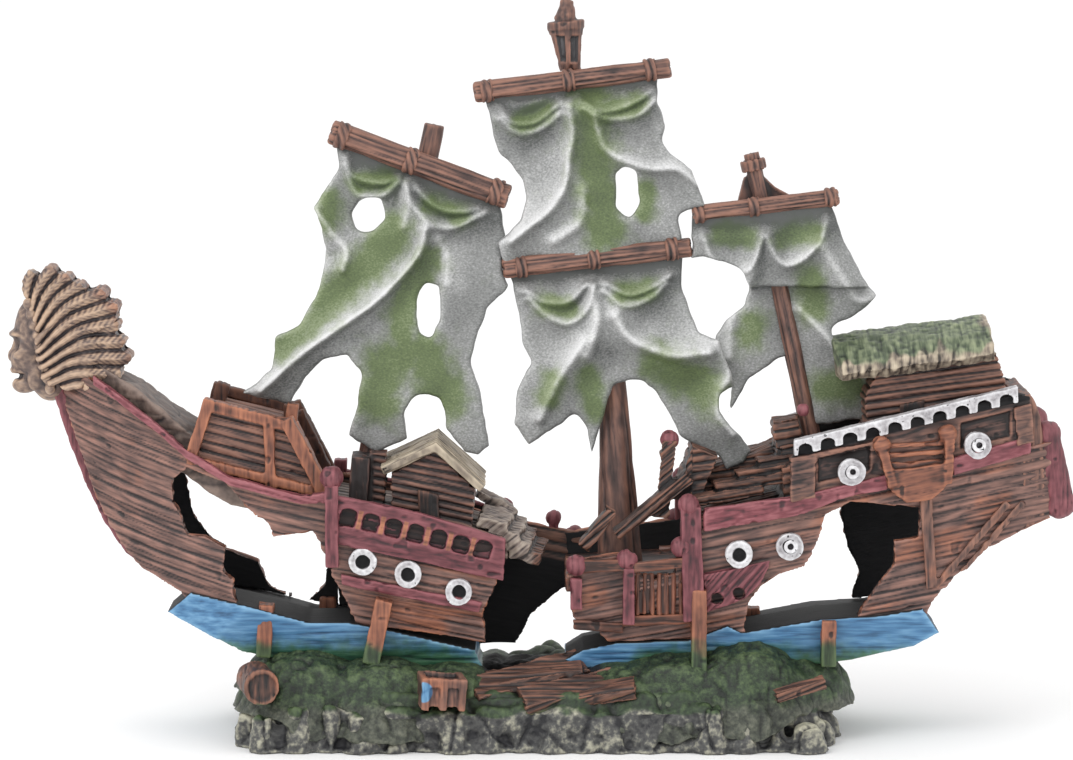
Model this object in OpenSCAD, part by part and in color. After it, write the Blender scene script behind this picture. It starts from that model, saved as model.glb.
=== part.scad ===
// Aquarium ornament: a broken sailing ship on a rock base, with an air supply for bubbles.
// X runs from bow (-) to stern (+), Y from the front side (-) to the back side (+), Z is up.
// The origin is on the flat underside of the base, below the middle of the ship.

/* [Base] */
// Length of the rock base
base_length = 166; // [162:1:178]
// Depth of the rock base, front to back
base_depth = 80; // [76:1:86]
// Height of the flat top of the base
base_height = 16; // [15:1:18]

/* [Hull] */
// Half of the greatest width of the hull
half_beam = 28; // [26:0.5:30]
// Thickness of the hull's cast wall
wall = 4; // [3:0.5:5]
// How far rails and bands stand proud of the planking
proud = 1.6; // [1:0.1:2]
// Angle by which the fore half slopes down towards the break
fore_pitch = 13.5; // [12:0.5:15]

/* [Rig] */
// Radius of the main mast at the deck
mast_r = 5.2; // [4.5:0.1:5.5]
// Radius of the yards
yard_r = 2.5; // [2.2:0.1:2.7]
// Thickness of the cast sails
sail_t = 4.4; // [4:0.1:5]

/* [Air supply] */
// Radius of the spigot that takes the airline
spigot_r = 2.2; // [2:0.1:2.4]
// Length of the spigot outside the base
spigot_length = 9; // [8:0.5:12]
// Radius of the air stone
stone_r = 6; // [5:0.5:7]

/* [Hidden] */
$fn = 48;

reach = 60;          // half depth of the slabs that cut or clip the hull
stem_x = -135;       // foremost point of the hull
shoulder_x = -58;    // where the bow reaches its full width
quarter_x = 60;      // where the stern starts to narrow
stern_x = 150;       // behind the sternmost point of the hull
bilge_z = 56;        // height at which the hull reaches its full width
keel_z = 20;         // lowest level of the hull
rail_z = 116;        // above the highest rail
stern_taper = 8;     // how much narrower each side is at the stern
keel_taper = 7;      // how much narrower each side is at the keel
plan_step = 5;       // spacing of the points along the hull's plan

rust = [0.56, 0.30, 0.20];
bark = [0.33, 0.20, 0.14];
plum = [0.46, 0.20, 0.29];
moss = [0.26, 0.36, 0.18];
rock = [0.34, 0.35, 0.30];
water = [0.30, 0.56, 0.78];
straw = [0.62, 0.56, 0.38];
white = [0.92, 0.92, 0.90];
canvas = [0.50, 0.60, 0.42];
gold = [0.60, 0.48, 0.28];

// ---- shapes that repeat ----

// An outline in X and Z, carried from front_y to back_y.
module side_slab(outline, front_y, back_y) {
    translate([0, back_y, 0]) rotate([90, 0, 0]) linear_extrude(back_y - front_y) polygon(outline);
}

// A straight bar between two points, w wide in the XZ plane, carried from front_y to back_y.
module bar(from, to, w, front_y, back_y) {
    run = to - from;
    translate([from[0], back_y, from[1]]) rotate([90, -atan2(run[1], run[0]), 0])
        translate([0, -w / 2]) linear_extrude(back_y - front_y) square([norm(run), w]);
}

// A round pole between two points in space.
module pole(from, to, r_from, r_to) {
    run = to - from;
    translate(from) rotate([0, acos(run[2] / norm(run)), atan2(run[1], run[0])])
        cylinder(h = norm(run), r1 = r_from, r2 = r_to);
}

// A short collar round a pole that runs from one point to another, share of the way along it.
module collar(from, to, share, r, w) {
    centre = from + (to - from) * share;
    unit = (to - from) / norm(to - from);
    pole(centre - unit * w / 2, centre + unit * w / 2, r, r);
}

// The children, and the same again on the far side.
module both_sides() {
    children();
    mirror([0, 1, 0]) children();
}

// ---- the hull's form ----

// Half width of the hull at x, drawn in by inset all round.
function bow_share(x, inset) = min(1, max(0, (x - stem_x - inset) / (shoulder_x - stem_x)));
function stern_share(x) = max(0, (x - quarter_x) / (stern_x - quarter_x));
function half_width(x, inset) =
    max(0.4, (half_beam - inset) * pow(sin(90 * bow_share(x, inset)), 0.75)
        - stern_taper * pow(stern_share(x), 1.6));

function hull_plan(inset) = let (xs = [for (x = [stem_x + inset : plan_step : stern_x]) x])
    concat([for (x = xs) [x, -half_width(x, inset)]],
           [for (i = [len(xs) - 1 : -1 : 0]) [xs[i], half_width(xs[i], inset)]]);

// The section narrows from the bilge down to the keel on a curve.
function section_side(inset) = [
    for (t = [0 : 0.2 : 1])
        [half_beam - inset - keel_taper * pow(1 - t, 1.8), keel_z + (bilge_z - keel_z) * t]
];
function hull_section(inset) = let (side = section_side(inset))
    concat(side, [[half_beam - inset, rail_z], [inset - half_beam, rail_z]],
           [for (i = [len(side) - 1 : -1 : 0]) [-side[i][0], side[i][1]]]);

module hull_form(inset) {
    intersection() {
        linear_extrude(rail_z) polygon(hull_plan(inset));
        translate([stem_x - 20, 0, 0]) rotate([90, 0, 90])
            linear_extrude(stern_x - stem_x + 40) polygon(hull_section(inset));
    }
}

// Part of the hull's skin, from depth inner to depth outer, inside an outline seen from the side.
module skin(outline, inner, outer, front_y = -reach, back_y = 0) {
    intersection() {
        difference() {
            hull_form(outer);
            hull_form(inner);
        }
        side_slab(outline, front_y, back_y);
    }
}

// ---- outlines seen from the side ----

bow_outline = [
    [-134, 96], [-132, 90], [-129, 81], [-125, 70], [-120, 60], [-115, 52], [-109, 47], [-101, 43],
    [-96, 38], [-81, 36], [-57, 31], [-57, 70], [-65, 68], [-73, 70], [-85, 73], [-97, 80], [-107, 88],
    [-118, 96], [-126, 101]
];
bow_hole_near = [
    [-101, 73], [-101, 67], [-99, 64], [-97, 58], [-92, 58], [-86, 55], [-87, 48], [-84, 46],
    [-84, 42], [-79, 30], [-50, 30], [-54, 42], [-57, 49], [-60, 56], [-62, 60], [-66, 59],
    [-73, 58], [-74.5, 62], [-81.5, 67], [-86, 73], [-97, 76.5]
];
bow_hole_far = [
    [-101, 72], [-98, 58], [-91, 48.5], [-80, 44], [-77, 37], [-67, 32], [-61, 37], [-60, 46],
    [-62.5, 55], [-75, 66], [-88, 75]
];
mid_outline = [
    [-57, 31], [-40, 32], [-14, 28], [-15, 38], [-12, 42], [-10, 49], [-9, 58], [-34, 65], [-57, 70]
];
mid_hole_near = [[-58, 28], [-50, 28], [-51, 36], [-54, 42], [-58, 50]];
mid_far_outline = [
    [-57, 31], [-40, 32], [-20, 21], [-6, 21], [-4, 24], [-1.5, 29], [8, 36.5], [14, 37.5],
    [14, 52], [-9, 56], [-34, 65], [-57, 70]
];
aft_outline = [
    [8, 52], [9, 45], [10, 35], [16, 32], [20, 28], [43, 29], [57, 29], [79, 32], [108, 35],
    [111, 41], [118, 48], [124, 54], [127, 55], [143, 63], [143, 84], [137, 83], [96, 73], [45, 64],
    [41, 56]
];
aft_hole_near = [
    [57, 26], [59, 39], [62, 44], [67, 47.5], [74, 50], [78, 57], [80, 64], [87, 68], [106, 66],
    [106, 58], [99, 57], [99, 50], [95, 45], [90, 38], [85, 26]
];
aft_hole_far = [
    [57, 24], [60, 46], [72, 52], [77, 61], [80, 67], [88, 67], [87.5, 58], [89.5, 48], [93, 41],
    [91, 36], [89, 24]
];
poop_outline = [[71, 70], [96, 73], [137, 83], [137, 96.8], [133, 97.6], [71, 83.4]];

// ---- base ----

// The base's outline: an oval squared off at the ends, with an uneven rim.
function rim_point(angle, grow, ripple) = let (
    c = cos(angle), s = sin(angle),
    uneven = ripple * (sin(angle * 7 + 20) + 0.7 * sin(angle * 13 + 75))
) [
    (base_length / 2 + grow + uneven) * sign(c) * pow(abs(c), 0.5),
    (base_depth / 2 + grow + uneven) * sign(s) * pow(abs(s), 0.55)
];
module rim_layer(z, height, grow, ripple, shift) {
    translate([shift, 0, z]) linear_extrude(height)
        polygon([for (angle = [0 : 5 : 355]) rim_point(angle, grow, ripple)]);
}

stone_x = 4;                        // the air well is under the break in the hull
stone_y = 4;
well_r = stone_r + 2.5;
well_z = 7;
duct_z = 11;                        // height of the air duct's axis
spigot_y = base_depth / 2 + 2;      // back face of the spigot's boss
tube_r = 3;

module base_rock() {
    color(rock) difference() {
        union() {
            rim_layer(0, 6, -1.5, 0.7, 0);
            rim_layer(6, 6, 0, 0.9, 0);
            rim_layer(12, base_height - 12, -3, 1, 0);
            translate([stone_x, spigot_y - 12, duct_z]) rotate([-90, 0, 0]) cylinder(h = 12, r = 6.5);
        }
        translate([stone_x, stone_y, well_z]) cylinder(h = reach, r = well_r);
        translate([stone_x, stone_y, duct_z]) rotate([-90, 0, 0]) cylinder(h = reach, r = tube_r);
    }
}

// A dome of radius r whose top is at z and that stops at the base's flat top or at floor_z.
module dome(x, y, z, r, floor_z) {
    intersection() {
        translate([x, y, z - r]) sphere(r);
        translate([x - r, y - r, floor_z]) cube([2 * r, 2 * r, 2 * r]);
    }
}

module moss_mounds() {
    color(moss) difference() {
        union() {
            dome(-66, -18, 27, 26, base_height - 6);
            dome(-44, -24, 25, 22, base_height - 6);
            dome(-24, -22, 23, 20, base_height - 4);
            dome(24, -22, 22.5, 24, base_height - 4);
            dome(40, -20, 26, 24, base_height - 6);
            dome(60, -20, 29, 24, base_height - 6);
            dome(76, -12, 28, 18, base_height - 6);
            dome(-70, 14, 24, 24, base_height - 6);
            dome(-42, 20, 23, 24, base_height - 4);
            dome(42, 20, 24, 24, base_height - 4);
            dome(68, 14, 25, 24, base_height - 6);
            intersection() {
                rim_layer(base_height - 4, 7.5, -5, 1.4, 0);
                union() {
                    side_slab([[-90, 0], [-17, 0], [-17, 40], [-90, 40]], -reach, -15);
                    side_slab([[16, 0], [90, 0], [90, 40], [16, 40]], -reach, -15);
                }
            }
        }
        translate([stone_x, stone_y, 0]) cylinder(h = reach, r = 13);
    }
}

// Boulders stand round the rim, larger and smaller in turn, each a tapered block with seven sides.
rocks_along = 18;
rocks_round = 5;
function rim_spots() = concat(
    [for (i = [0 : rocks_along - 1])
        [(i + 0.5 - rocks_along / 2) * 8.8, -base_depth / 2 + 2.5 + 0.8 * sin(i * 95)]],
    [for (i = [0 : rocks_along - 1])
        [(i + 0.5 - rocks_along / 2) * 8.8, base_depth / 2 - 2.5 - 0.8 * sin(i * 70)]],
    [for (end = [-1, 1]) for (i = [0 : rocks_round - 1])
        [end * (base_length / 2 - 2.5 - abs(i - 2) * 0.9), (i - (rocks_round - 1) / 2) * 14]]
);
module rim_rocks() {
    spots = rim_spots();
    color(rock) difference() {
        for (i = [0 : len(spots) - 1]) {
            size = 5.6 + 1.3 * sin(i * 131);
            height = 10.5 + 3 * sin(i * 59);
            translate([spots[i][0], spots[i][1], 0]) rotate(i * 40)
                cylinder(h = height, r1 = size, r2 = size * 0.55, $fn = 7);
        }
        translate([stone_x, 0, duct_z]) rotate([-90, 0, 0]) cylinder(h = reach, r = 7.5);
    }
}

module barrel_end() {
    color(rust) translate([-75, -44.5, 19]) rotate([-90, 0, 12]) difference() {
        cylinder(h = 16, r = 5);
        translate([0, 0, -1]) cylinder(h = 1.8, r = 3.9);
    }
}

module sunken_chest() {
    color(rust) translate([-31, -45, 14]) rotate([0, 4, 8]) difference() {
        union() {
            cube([11, 14, 7]);
            translate([-0.8, -0.8, 5.5]) cube([12.6, 14, 2.4]);
            for (x = [-0.6, 4.5, 9.6]) translate([x, -0.8, -1]) cube([2, 14, 8]);
        }
        translate([1, 1.5, 6.5]) cube([9, 10, 8]);
    }
}

module driftwood_planks() {
    color(bark) {
        translate([-16, -36, 11]) rotate([26, -11, 20]) cube([34, 11, 4]);
        translate([-3, -40, 10]) rotate([28, -9, 16]) cube([28, 9, 4]);
        translate([-19, -31, 14]) rotate([20, -7, 6]) cube([33, 8, 3.5]);
        translate([10, -37, 12]) rotate([24, -8, -4]) cube([18, 8, 3.5]);
        translate([66, -43, 14]) rotate([8, -14, 10]) cube([15, 4, 3.6]);
    }
}

module support_stubs() {
    color(rust) {
        bar([-76, 24], [-75, 39], 4.5, -26, -20);
        bar([-46, 23], [-42, 41], 5, -31, -22);
        bar([45, 20], [45, 44], 4.4, -31, -20);
        bar([81, 22], [81, 35], 4.4, -29, -20);
        bar([-60, 16], [-60, 34], 5, 18, 24);
        bar([62, 16], [62, 31], 5, 18, 24);
    }
}

// ---- air supply ----

module air_spigot() {
    color(bark) translate([stone_x, spigot_y, duct_z]) rotate([-90, 0, 0]) {
        cylinder(h = spigot_length, r = spigot_r);
        translate([0, 0, -6]) cylinder(h = 6, r = tube_r);
    }
}

module air_tube() {
    length = spigot_y - 6 - stone_y - stone_r;
    color("silver") translate([stone_x, stone_y + stone_r, duct_z]) rotate([-90, 0, 0]) difference() {
        cylinder(h = length, r = tube_r);
        translate([0, 0, -1]) cylinder(h = length + 2, r = tube_r - 1);
    }
}

module air_stone() {
    color("lightsteelblue") translate([stone_x, stone_y, well_z])
        cylinder(h = base_height - well_z - 2, r = stone_r);
}

// ---- the water bands under the hull ----

fore_band = [
    [-103, 36], [-96, 42], [-81, 39], [-63, 34], [-52, 34], [-42, 32], [-17, 26], [-15, 21],
    [-40, 20.5], [-60, 20.5], [-81, 25], [-99, 34]
];
aft_band = [
    [8, 23], [13, 26], [22, 28], [43, 29], [53, 33], [57, 31], [79, 35], [95, 36], [107, 38],
    [112, 31], [105, 27], [88, 23], [70, 20.5], [12, 20.5]
];

// The far half of each band lies a little lower than the near half.
far_drop = 3;
module water_band(outline) {
    intersection() {
        hull_form(-0.8);
        union() {
            side_slab(outline, -reach, 0);
            translate([0, 0, -far_drop]) side_slab(outline, 0, reach);
        }
    }
}

module keel_fore() {
    color(water) water_band(fore_band);
}
module keel_aft() {
    color(water) water_band(aft_band);
}

// ---- fore half ----

module hull_bow_near() {
    color(rust) difference() {
        skin(bow_outline, wall, 0);
        side_slab(bow_hole_near, -reach, -1);
    }
}
module hull_bow_far() {
    color(rust) difference() {
        skin(bow_outline, wall, 0, 0, reach);
        side_slab(bow_hole_far, 1, reach);
    }
}
module hull_mid_near() {
    color(rust) difference() {
        skin(mid_outline, wall, 0);
        side_slab(mid_hole_near, -reach, -1);
    }
}
module hull_mid_far() {
    color(rust) skin(mid_far_outline, wall, 0, 0, reach);
}

module stem_strake() {
    color(plum) side_slab([
        [-136, 96], [-134, 89], [-131, 80], [-127, 69], [-122, 59], [-116, 50], [-110, 45.5],
        [-101, 41.5], [-97, 36.5], [-94, 38], [-99, 44.5], [-108, 48.5], [-114, 53], [-119, 61],
        [-124, 71], [-128, 82], [-131, 91], [-133, 97]
    ], -2.6, 2.6);
}

module sheer_rail_fore() {
    color(plum) both_sides() skin([
        [-124, 98.6], [-118, 95], [-107, 87.5], [-97, 79.5], [-85, 72.5], [-73, 69.5], [-65, 67.5],
        [-57, 68], [-57, 71], [-65, 70], [-73, 72], [-85, 75], [-97, 82], [-107, 90], [-118, 97.6],
        [-124, 101.4]
    ], 2, -proud);
}

module wale_fore() {
    color(plum) both_sides() skin([[-54, 45], [-16, 37], [-15, 40], [-54, 48]], 1, -proud);
}

// The gallery's window band, with a row of arched windows sunk in it.
gallery_start = [-55, 71];
window_h = 3.6;
window_w = 5;
window_count = 7;
window_pitch = 6.4;
module window_band() {
    color(plum) both_sides() difference() {
        skin([[-57, 57], [-9, 46], [-8.5, 58], [-33, 65.6], [-57, 70.4]], 1, -proud);
        translate([gallery_start[0], 0, gallery_start[1]]) rotate([0, fore_pitch, 0])
            for (i = [0 : window_count - 1])
                translate([2.4 + i * window_pitch, -half_beam, -8.6]) rotate([90, 0, 0])
                    translate([0, 0, -0.4]) linear_extrude(6) {
                        square([window_w - 0.6, window_h]);
                        translate([window_w / 2 - 0.3, window_h]) scale([1, 0.6]) circle(window_w / 2 - 0.3);
                    }
    }
}

// Round gun ports, each a ring with a raised rim.
fore_ports = [[-48, 51.5], [-35.5, 48], [-21.5, 43]];
aft_ports = [[56, 53.6], [70, 55.8]];
poop_ports = [[87, 76.4], [122, 83.4]];
ring_r = 3.8;
module port_ring(spot, y) {
    translate([spot[0], y, spot[1]]) rotate([90, 0, 0]) difference() {
        cylinder(h = 2.6, r = ring_r);
        translate([0, 0, 0.8]) cylinder(h = 4, r = ring_r * 0.52);
    }
}
function skin_y(x, z) = -min(half_width(x, 0),
    half_beam - keel_taper * pow(max(0, 1 - (z - keel_z) / (bilge_z - keel_z)), 1.8));
module port_rings() {
    color(white) both_sides()
        for (spot = concat(fore_ports, aft_ports, poop_ports))
            port_ring(spot, skin_y(spot[0], spot[1]) + 0.6);
}

module cannons() {
    muzzle_r = 1.9;
    color(white) both_sides()
        for (spot = [aft_ports[1], poop_ports[0], poop_ports[1]])
            translate([spot[0], skin_y(spot[0], spot[1]), spot[1]]) rotate([84, 0, 0])
                difference() {
                    union() {
                        cylinder(h = 6, r = muzzle_r * 0.85);
                        translate([0, 0, 4.6]) cylinder(h = 1.4, r = muzzle_r);
                    }
                    translate([0, 0, 4]) cylinder(h = 4, r = muzzle_r * 0.45);
                }
}

module fore_deck() {
    color(bark) intersection() {
        hull_form(wall - 0.2);
        side_slab([[-130, 92], [-118, 88], [-97, 73], [-85, 66], [-57, 62], [-57, 66.5], [-73, 67.5],
                   [-85, 72], [-92, 83], [-101, 89.5], [-112, 98], [-124, 105]], -reach, reach);
    }
}
module main_deck() {
    color(bark) intersection() {
        hull_form(wall - 0.2);
        side_slab([[-57, 62], [-34, 58], [-12, 53], [-8, 51], [-8, 56], [-34, 63], [-57, 67]],
                  -reach, reach);
    }
}

// The forecastle: a tapered house of sloping boards inside a heavy frame.
module forecastle_house() {
    color(rust) side_slab([[-95, 78], [-90.5, 93], [-69.5, 87.5], [-60, 70], [-85, 70]], -20, 20);
}
module forecastle_frame() {
    color(rust) {
        both_sides() {
            bar([-96, 79], [-90.6, 96], 3.4, -22.5, -17.8);
            bar([-92.5, 94.6], [-67.5, 88.2], 3.2, -22.2, -17.5);
            bar([-69.5, 90.4], [-59, 70], 4, -22.8, -17.6);
            bar([-74.2, 89], [-73.8, 69.5], 3, -21.8, -17.9);
            bar([-97, 79.2], [-60, 69.7], 2.8, -22, -17.7);
            bar([-68, 88.5], [-60, 72], 3.2, 12, 16.5);
        }
        bar([-90.5, 91], [-88.5, 97], 4, 6, 12);
        bar([-70, 85], [-70, 91.5], 3.4, 5, 10.5);
        bar([-69, 85], [-68, 93.5], 3.4, -11, -6);
    }
}

// ---- the hut on the main deck ----

hut_y = [-19, 9];
hut_ridge = [-28, 81.5];
module hut_walls() {
    color(rust) {
        side_slab([[-40.5, 62], [-18, 57], [-17, 70.5], hut_ridge, [-40.5, 75]], hut_y[0], hut_y[1]);
        bar([-45, 62], [-44, 80], 5, -14, -4);
        bar([-50, 65], [-49, 79], 5.5, -16, -2);
    }
}
module hut_roof() {
    color(straw) {
        bar([-43, 75.5], [-27.4, 82.8], 2.6, hut_y[0] - 2, hut_y[1] + 3);
        bar([-28.8, 83.2], [-15, 70.5], 2.6, hut_y[0] - 2.2, hut_y[1] + 3.2);
    }
}
module doors() {
    color(bark) {
        translate([0, hut_y[0], 0]) side_slab([[-33, 61.5], [-27, 60], [-27, 69], [-33, 70.5]], -1, 0.5);
        translate([0, cabin_y[0], 0])
            side_slab([[101, 86.5], [108, 88.2], [108, 95.5], [101, 94]], -1, 0.5);
    }
}

// ---- aft half ----

module hull_aft_near() {
    color(rust) difference() {
        skin(aft_outline, wall, 0);
        side_slab(aft_hole_near, -reach, -1);
        side_slab([[26, 55], [27, 49], [32, 46], [38, 48], [39, 55]], -reach, -1);
    }
}
module hull_aft_far() {
    color(rust) difference() {
        skin(aft_outline, wall, 0, 0, reach);
        side_slab(aft_hole_far, 1, reach);
    }
}

module sheer_rail_aft() {
    color(plum) both_sides() skin([
        [46, 60], [73, 64.5], [84, 69], [97, 71.5], [97, 75.5], [73, 70], [46, 66.5]
    ], 1, -proud);
    color(plum) both_sides() skin([[115, 75], [137, 81], [137, 86], [115, 80]], 1, -proud);
}

// The balcony at the break: a curved front rail between posts, with turned balusters under it.
module balcony() {
    color(rust) both_sides() {
        skin([[9, 48], [25, 49], [26, 52.5], [9, 52]], 0.5, -2.4);
        skin([[24, 48], [41, 50], [41, 53], [24, 51]], 0.5, -2.6);
        skin([[24, 33], [43, 34], [43, 37], [24, 36]], 0.5, -2.4);
        skin([[10, 32], [24, 31], [24, 34], [10, 35]], 0.5, -1.6);
    }
    color(rust) intersection() {
        hull_form(wall - 0.2);
        side_slab([[8, 42], [44, 44], [44, 48], [8, 46]], -reach, reach);
    }
}
baluster_count = 9;
module balusters() {
    color(rust) both_sides()
        for (i = [0 : baluster_count - 1])
            translate([26 + i * 2, skin_y(30, 40) - 0.2, 36.2]) cylinder(h = 12, r = 0.75, $fn = 16);
}

// Square posts that carry the trim's balls.
module trim_posts() {
    color(plum) both_sides() {
        bar([-56.5, 50], [-56.5, 73], 3.8, -half_beam - 3, -half_beam + 2);
        bar([11, 38], [11, 47], 3.4, -half_beam - 1.6, -half_beam + 3);
        bar([25.5, 34], [25.5, 50], 3.2, -half_beam - 2.6, -half_beam + 3);
        bar([43.5, 35], [42.5, 67], 6, -half_beam - 2.6, -half_beam + 4);
    }
}
waist_balls = [[11, 50.5], [25, 52], [40, 55.5], [42, 67.5]];
gallery_ball = [-56.5, 75];         // only on the front side, as the back one has broken off
rail_balls = [[-9, 59.5], [5, 56]];
module post_balls() {
    color(plum) {
        translate([gallery_ball[0], -half_beam - 0.4, gallery_ball[1]]) sphere(3.4);
        both_sides()
            for (spot = waist_balls) translate([spot[0], -half_beam - 0.4, spot[1]]) sphere(3.1);
        for (spot = rail_balls) {
            translate([spot[0], half_beam - 2, spot[1]]) sphere(2.4);
            translate([spot[0] - 1.3, half_beam - 3.3, spot[1] - 6]) cube([2.6, 2.6, 5]);
        }
        translate([37, -16, 84]) sphere(2.8);
        translate([74, -17, 92.5]) sphere(2);
    }
}

// Plum panel low on the quarter, with two oval openings.
module lower_panel() {
    color(plum) both_sides() difference() {
        skin([[46, 48], [65, 52], [62, 45], [58, 41], [47, 37]], 1, -proud);
        for (spot = [[50, 41], [56, 42.5]])
            translate([spot[0], -half_beam - 4, spot[1]]) rotate([-90, 0, 0]) cylinder(h = 8, r = 1.6);
    }
}

module poop_bulwark() {
    color(rust) both_sides() {
        skin(poop_outline, wall, 0);
        skin([[70, 68], [77, 69.5], [77, 82], [70, 80.5]], 1, -2);
        skin([[133, 83], [138, 84], [137, 95], [132, 93.5]], 1, -2);
        skin([[76, 79], [95, 82.6], [95, 85.4], [76, 81.8]], 1, -1.6);
    }
}

// The carved rail: a strip with a row of arched gaps, open below.
rail_start = [71, 81];
rail_end = [133, 95.4];
rail_h = 4.4;
arch_count = 10;
arch_w = 3.9;
module balustrade() {
    run = rail_end - rail_start;
    color(white) both_sides() difference() {
        skin([rail_start, rail_end, rail_end + [0, rail_h], rail_start + [0, rail_h]], 2.5, -proud - 0.8);
        for (i = [0 : arch_count - 1])
            translate([rail_start[0] + run[0] * (i + 0.5) / arch_count, -half_beam / 3,
                       rail_start[1] + run[1] * (i + 0.5) / arch_count])
                rotate([90, 0, 0]) linear_extrude(reach) {
                    translate([-arch_w / 2, -2]) square([arch_w, 3.5]);
                    translate([0, 1.5]) scale([1, 0.7]) circle(arch_w / 2);
                }
    }
}

bay_balls = [[95, 83.8], [113.5, 86.8]];
module boat_bay() {
    color(rust) both_sides() {
        skin([[96, 77], [98, 71], [102, 68], [109, 68.5], [113, 72], [114.5, 79]], 1, -3.6);
        skin([[94, 82.5], [97, 82.5], [99.5, 73], [97, 72]], 1, -4.4);
        skin([[112.5, 85.5], [115.5, 85.5], [115, 73], [112.5, 73]], 1, -4.2);
        for (z = [77.5 : 2.6 : 83]) skin([[95, z], [115, z + 1], [115, z + 2.4], [95, z + 1.4]], 1, -1.4);
        for (spot = bay_balls) translate([spot[0], skin_y(spot[0], 80) - 1.6, spot[1]]) sphere(2.8);
    }
}

module poop_deck() {
    color(bark) {
        intersection() {
            hull_form(wall - 0.2);
            side_slab([[70, 75], [137, 84], [141, 85], [141, 89], [70, 79]], -reach, reach);
        }
        intersection() {
            hull_form(wall - 0.2);
            side_slab([[44, 58], [74, 64], [74, 69], [44, 62]], -reach, reach);
        }
        side_slab([[68, 62], [73, 63], [73, 78], [68, 77]], -half_beam + wall - 0.2,
                  half_beam - wall + 0.2);
    }
}

// Stern timbers: the closing transom, upright posts and the slanting braces.
module stern_frame() {
    color(rust) {
        both_sides() {
            skin([[106, 69], [109.5, 69], [111, 45], [108, 43]], 1, -1.6);
            skin([[109, 43.6], [111.5, 43.6], [131.6, 66.4], [130, 68]], 1, -1.2);
            skin([[117, 48], [119.5, 48.6], [136, 66.6], [134.4, 68]], 1, -1.1);
        }
        intersection() {
            hull_form(0.5);
            side_slab([[136, 60], [142, 62], [140, 91], [137, 97.4], [133, 96.6]], -reach, reach);
        }
    }
}
log_head = [142, -17, 85.5];
log_foot = [145.5, -18, 66.5];
module stern_log() {
    color(plum) both_sides()
        pole(log_head, log_foot, 3.7, 4.1);
    color(plum) both_sides() {
        translate(log_head) sphere(4.1);
        translate(log_foot) sphere(4.5);
    }
}

cabin_y = [-17, 17];
roof_pitch = 8;
module poop_cabin() {
    color(rust) side_slab([[92, 82], [134, 88], [128, 108], [94, 102], [91, 96]], cabin_y[0], cabin_y[1]);
}
module cabin_roof() {
    color(moss) {
        translate([84, 0, 101.5]) rotate([0, -roof_pitch, 0]) rotate([90, 0, 90]) linear_extrude(44)
            polygon([[-24, 1], [-23, 4], [-17, 7], [-9, 9.3], [0, 10], [9, 9.3], [17, 7], [23, 4],
                     [24, 1], [19, -1.5], [-19, -1.5]]);
    }
}

// Broken deck timbers between the main mast and the poop, and beside the hut.
module deck_debris() {
    color(bark) {
        for (i = [0 : 4])
            translate([44 + i * 6, -24 + i * 2, 66 + i * 3.2]) rotate([0, -9, 6]) cube([20, 12 - i, 3]);
        bar([22, 57], [43, 74], 4, -20, -10);
        bar([13, 54], [21, 65], 4, -22, -15);
        bar([35, 62], [37, 84], 4.4, -19, -13);
        bar([41, 66], [47, 81], 8, -18, 2);
        bar([66, 84], [74, 85], 10, -14, 0);
        bar([46, 70], [72, 80], 6, -6, 14);
        for (i = [0 : 3])
            translate([-17 + i * 3, -20, 60 - i * 3]) rotate([0, 12, -4]) cube([9, 34, 3]);
        bar([-17, 66], [-7, 60], 3, 4, 16);
    }
}

// ---- rig ----

main_foot = [23.5, 0, 45];
main_bend = [21.5, 0, 102];         // the trunk bends over to the bow here
main_head = [9.5, 0, 187];
fore_foot = [-50, 0, 62];
fore_head = [-28.5, 0, 171];
mizzen_foot = [79, 0, 76];
mizzen_head = [60, 0, 163];
yard_y = -5;
fore_yard_ends = [[-57, yard_y, 169], [-8, yard_y, 151]];
upper_yard_ends = [[-17, yard_y, 180], [37, yard_y, 187]];
lower_yard_ends = [[-9, yard_y - 1, 131], [43, yard_y - 1, 137]];
mizzen_yard_ends = [[44, yard_y, 146], [84, yard_y, 151]];

module fore_mast() {
    color(bark) pole(fore_foot, fore_head, 3.6, 3);
}
module main_mast() {
    color(rust) {
        pole(main_foot, main_bend, mast_r * 1.3, mast_r * 0.7);
        translate(main_bend) sphere(mast_r * 0.74);
        pole(main_bend, main_head, mast_r * 0.68, mast_r * 0.56);
    }
}
module mizzen_mast() {
    color(rust) {
        pole(mizzen_foot, mizzen_head, 3, 2.4);
        side_slab([[56, 148], [58, 156], [62, 158], [67, 153.5], [75, 149]], 0, 3.6);
    }
}
module fore_yard() {
    color(rust) pole(fore_yard_ends[0], fore_yard_ends[1], yard_r * 1.2, yard_r * 1.3);
}
module main_yards() {
    color(rust) {
        pole(upper_yard_ends[0], upper_yard_ends[1], yard_r, yard_r);
        pole(lower_yard_ends[0], lower_yard_ends[1], yard_r, yard_r);
    }
}
module mizzen_yard() {
    color(rust) pole(mizzen_yard_ends[0], mizzen_yard_ends[1], yard_r * 0.8, yard_r * 0.8);
}

module yard_collars(ends, shares, r, w) {
    for (share = shares) collar(ends[0], ends[1], share, r, w);
}
module lashings() {
    color(rust) {
        yard_collars(fore_yard_ends, [0.06, 0.45, 0.93], yard_r * 1.5, 3.4);
        yard_collars(upper_yard_ends, [0.06, 0.48, 0.9], yard_r * 1.25, 3.2);
        yard_collars(lower_yard_ends, [0.09, 0.48, 0.9], yard_r * 1.25, 3.2);
        yard_collars(mizzen_yard_ends, [0.04, 0.42, 0.95], yard_r * 1.08, 3);
        yard_collars([mizzen_foot, mizzen_head], [0.96], 3.4, 3);
    }
}

module sail(outline) {
    color(canvas) side_slab(outline, yard_y - sail_t / 2, yard_y + sail_t / 2);
}

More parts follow.
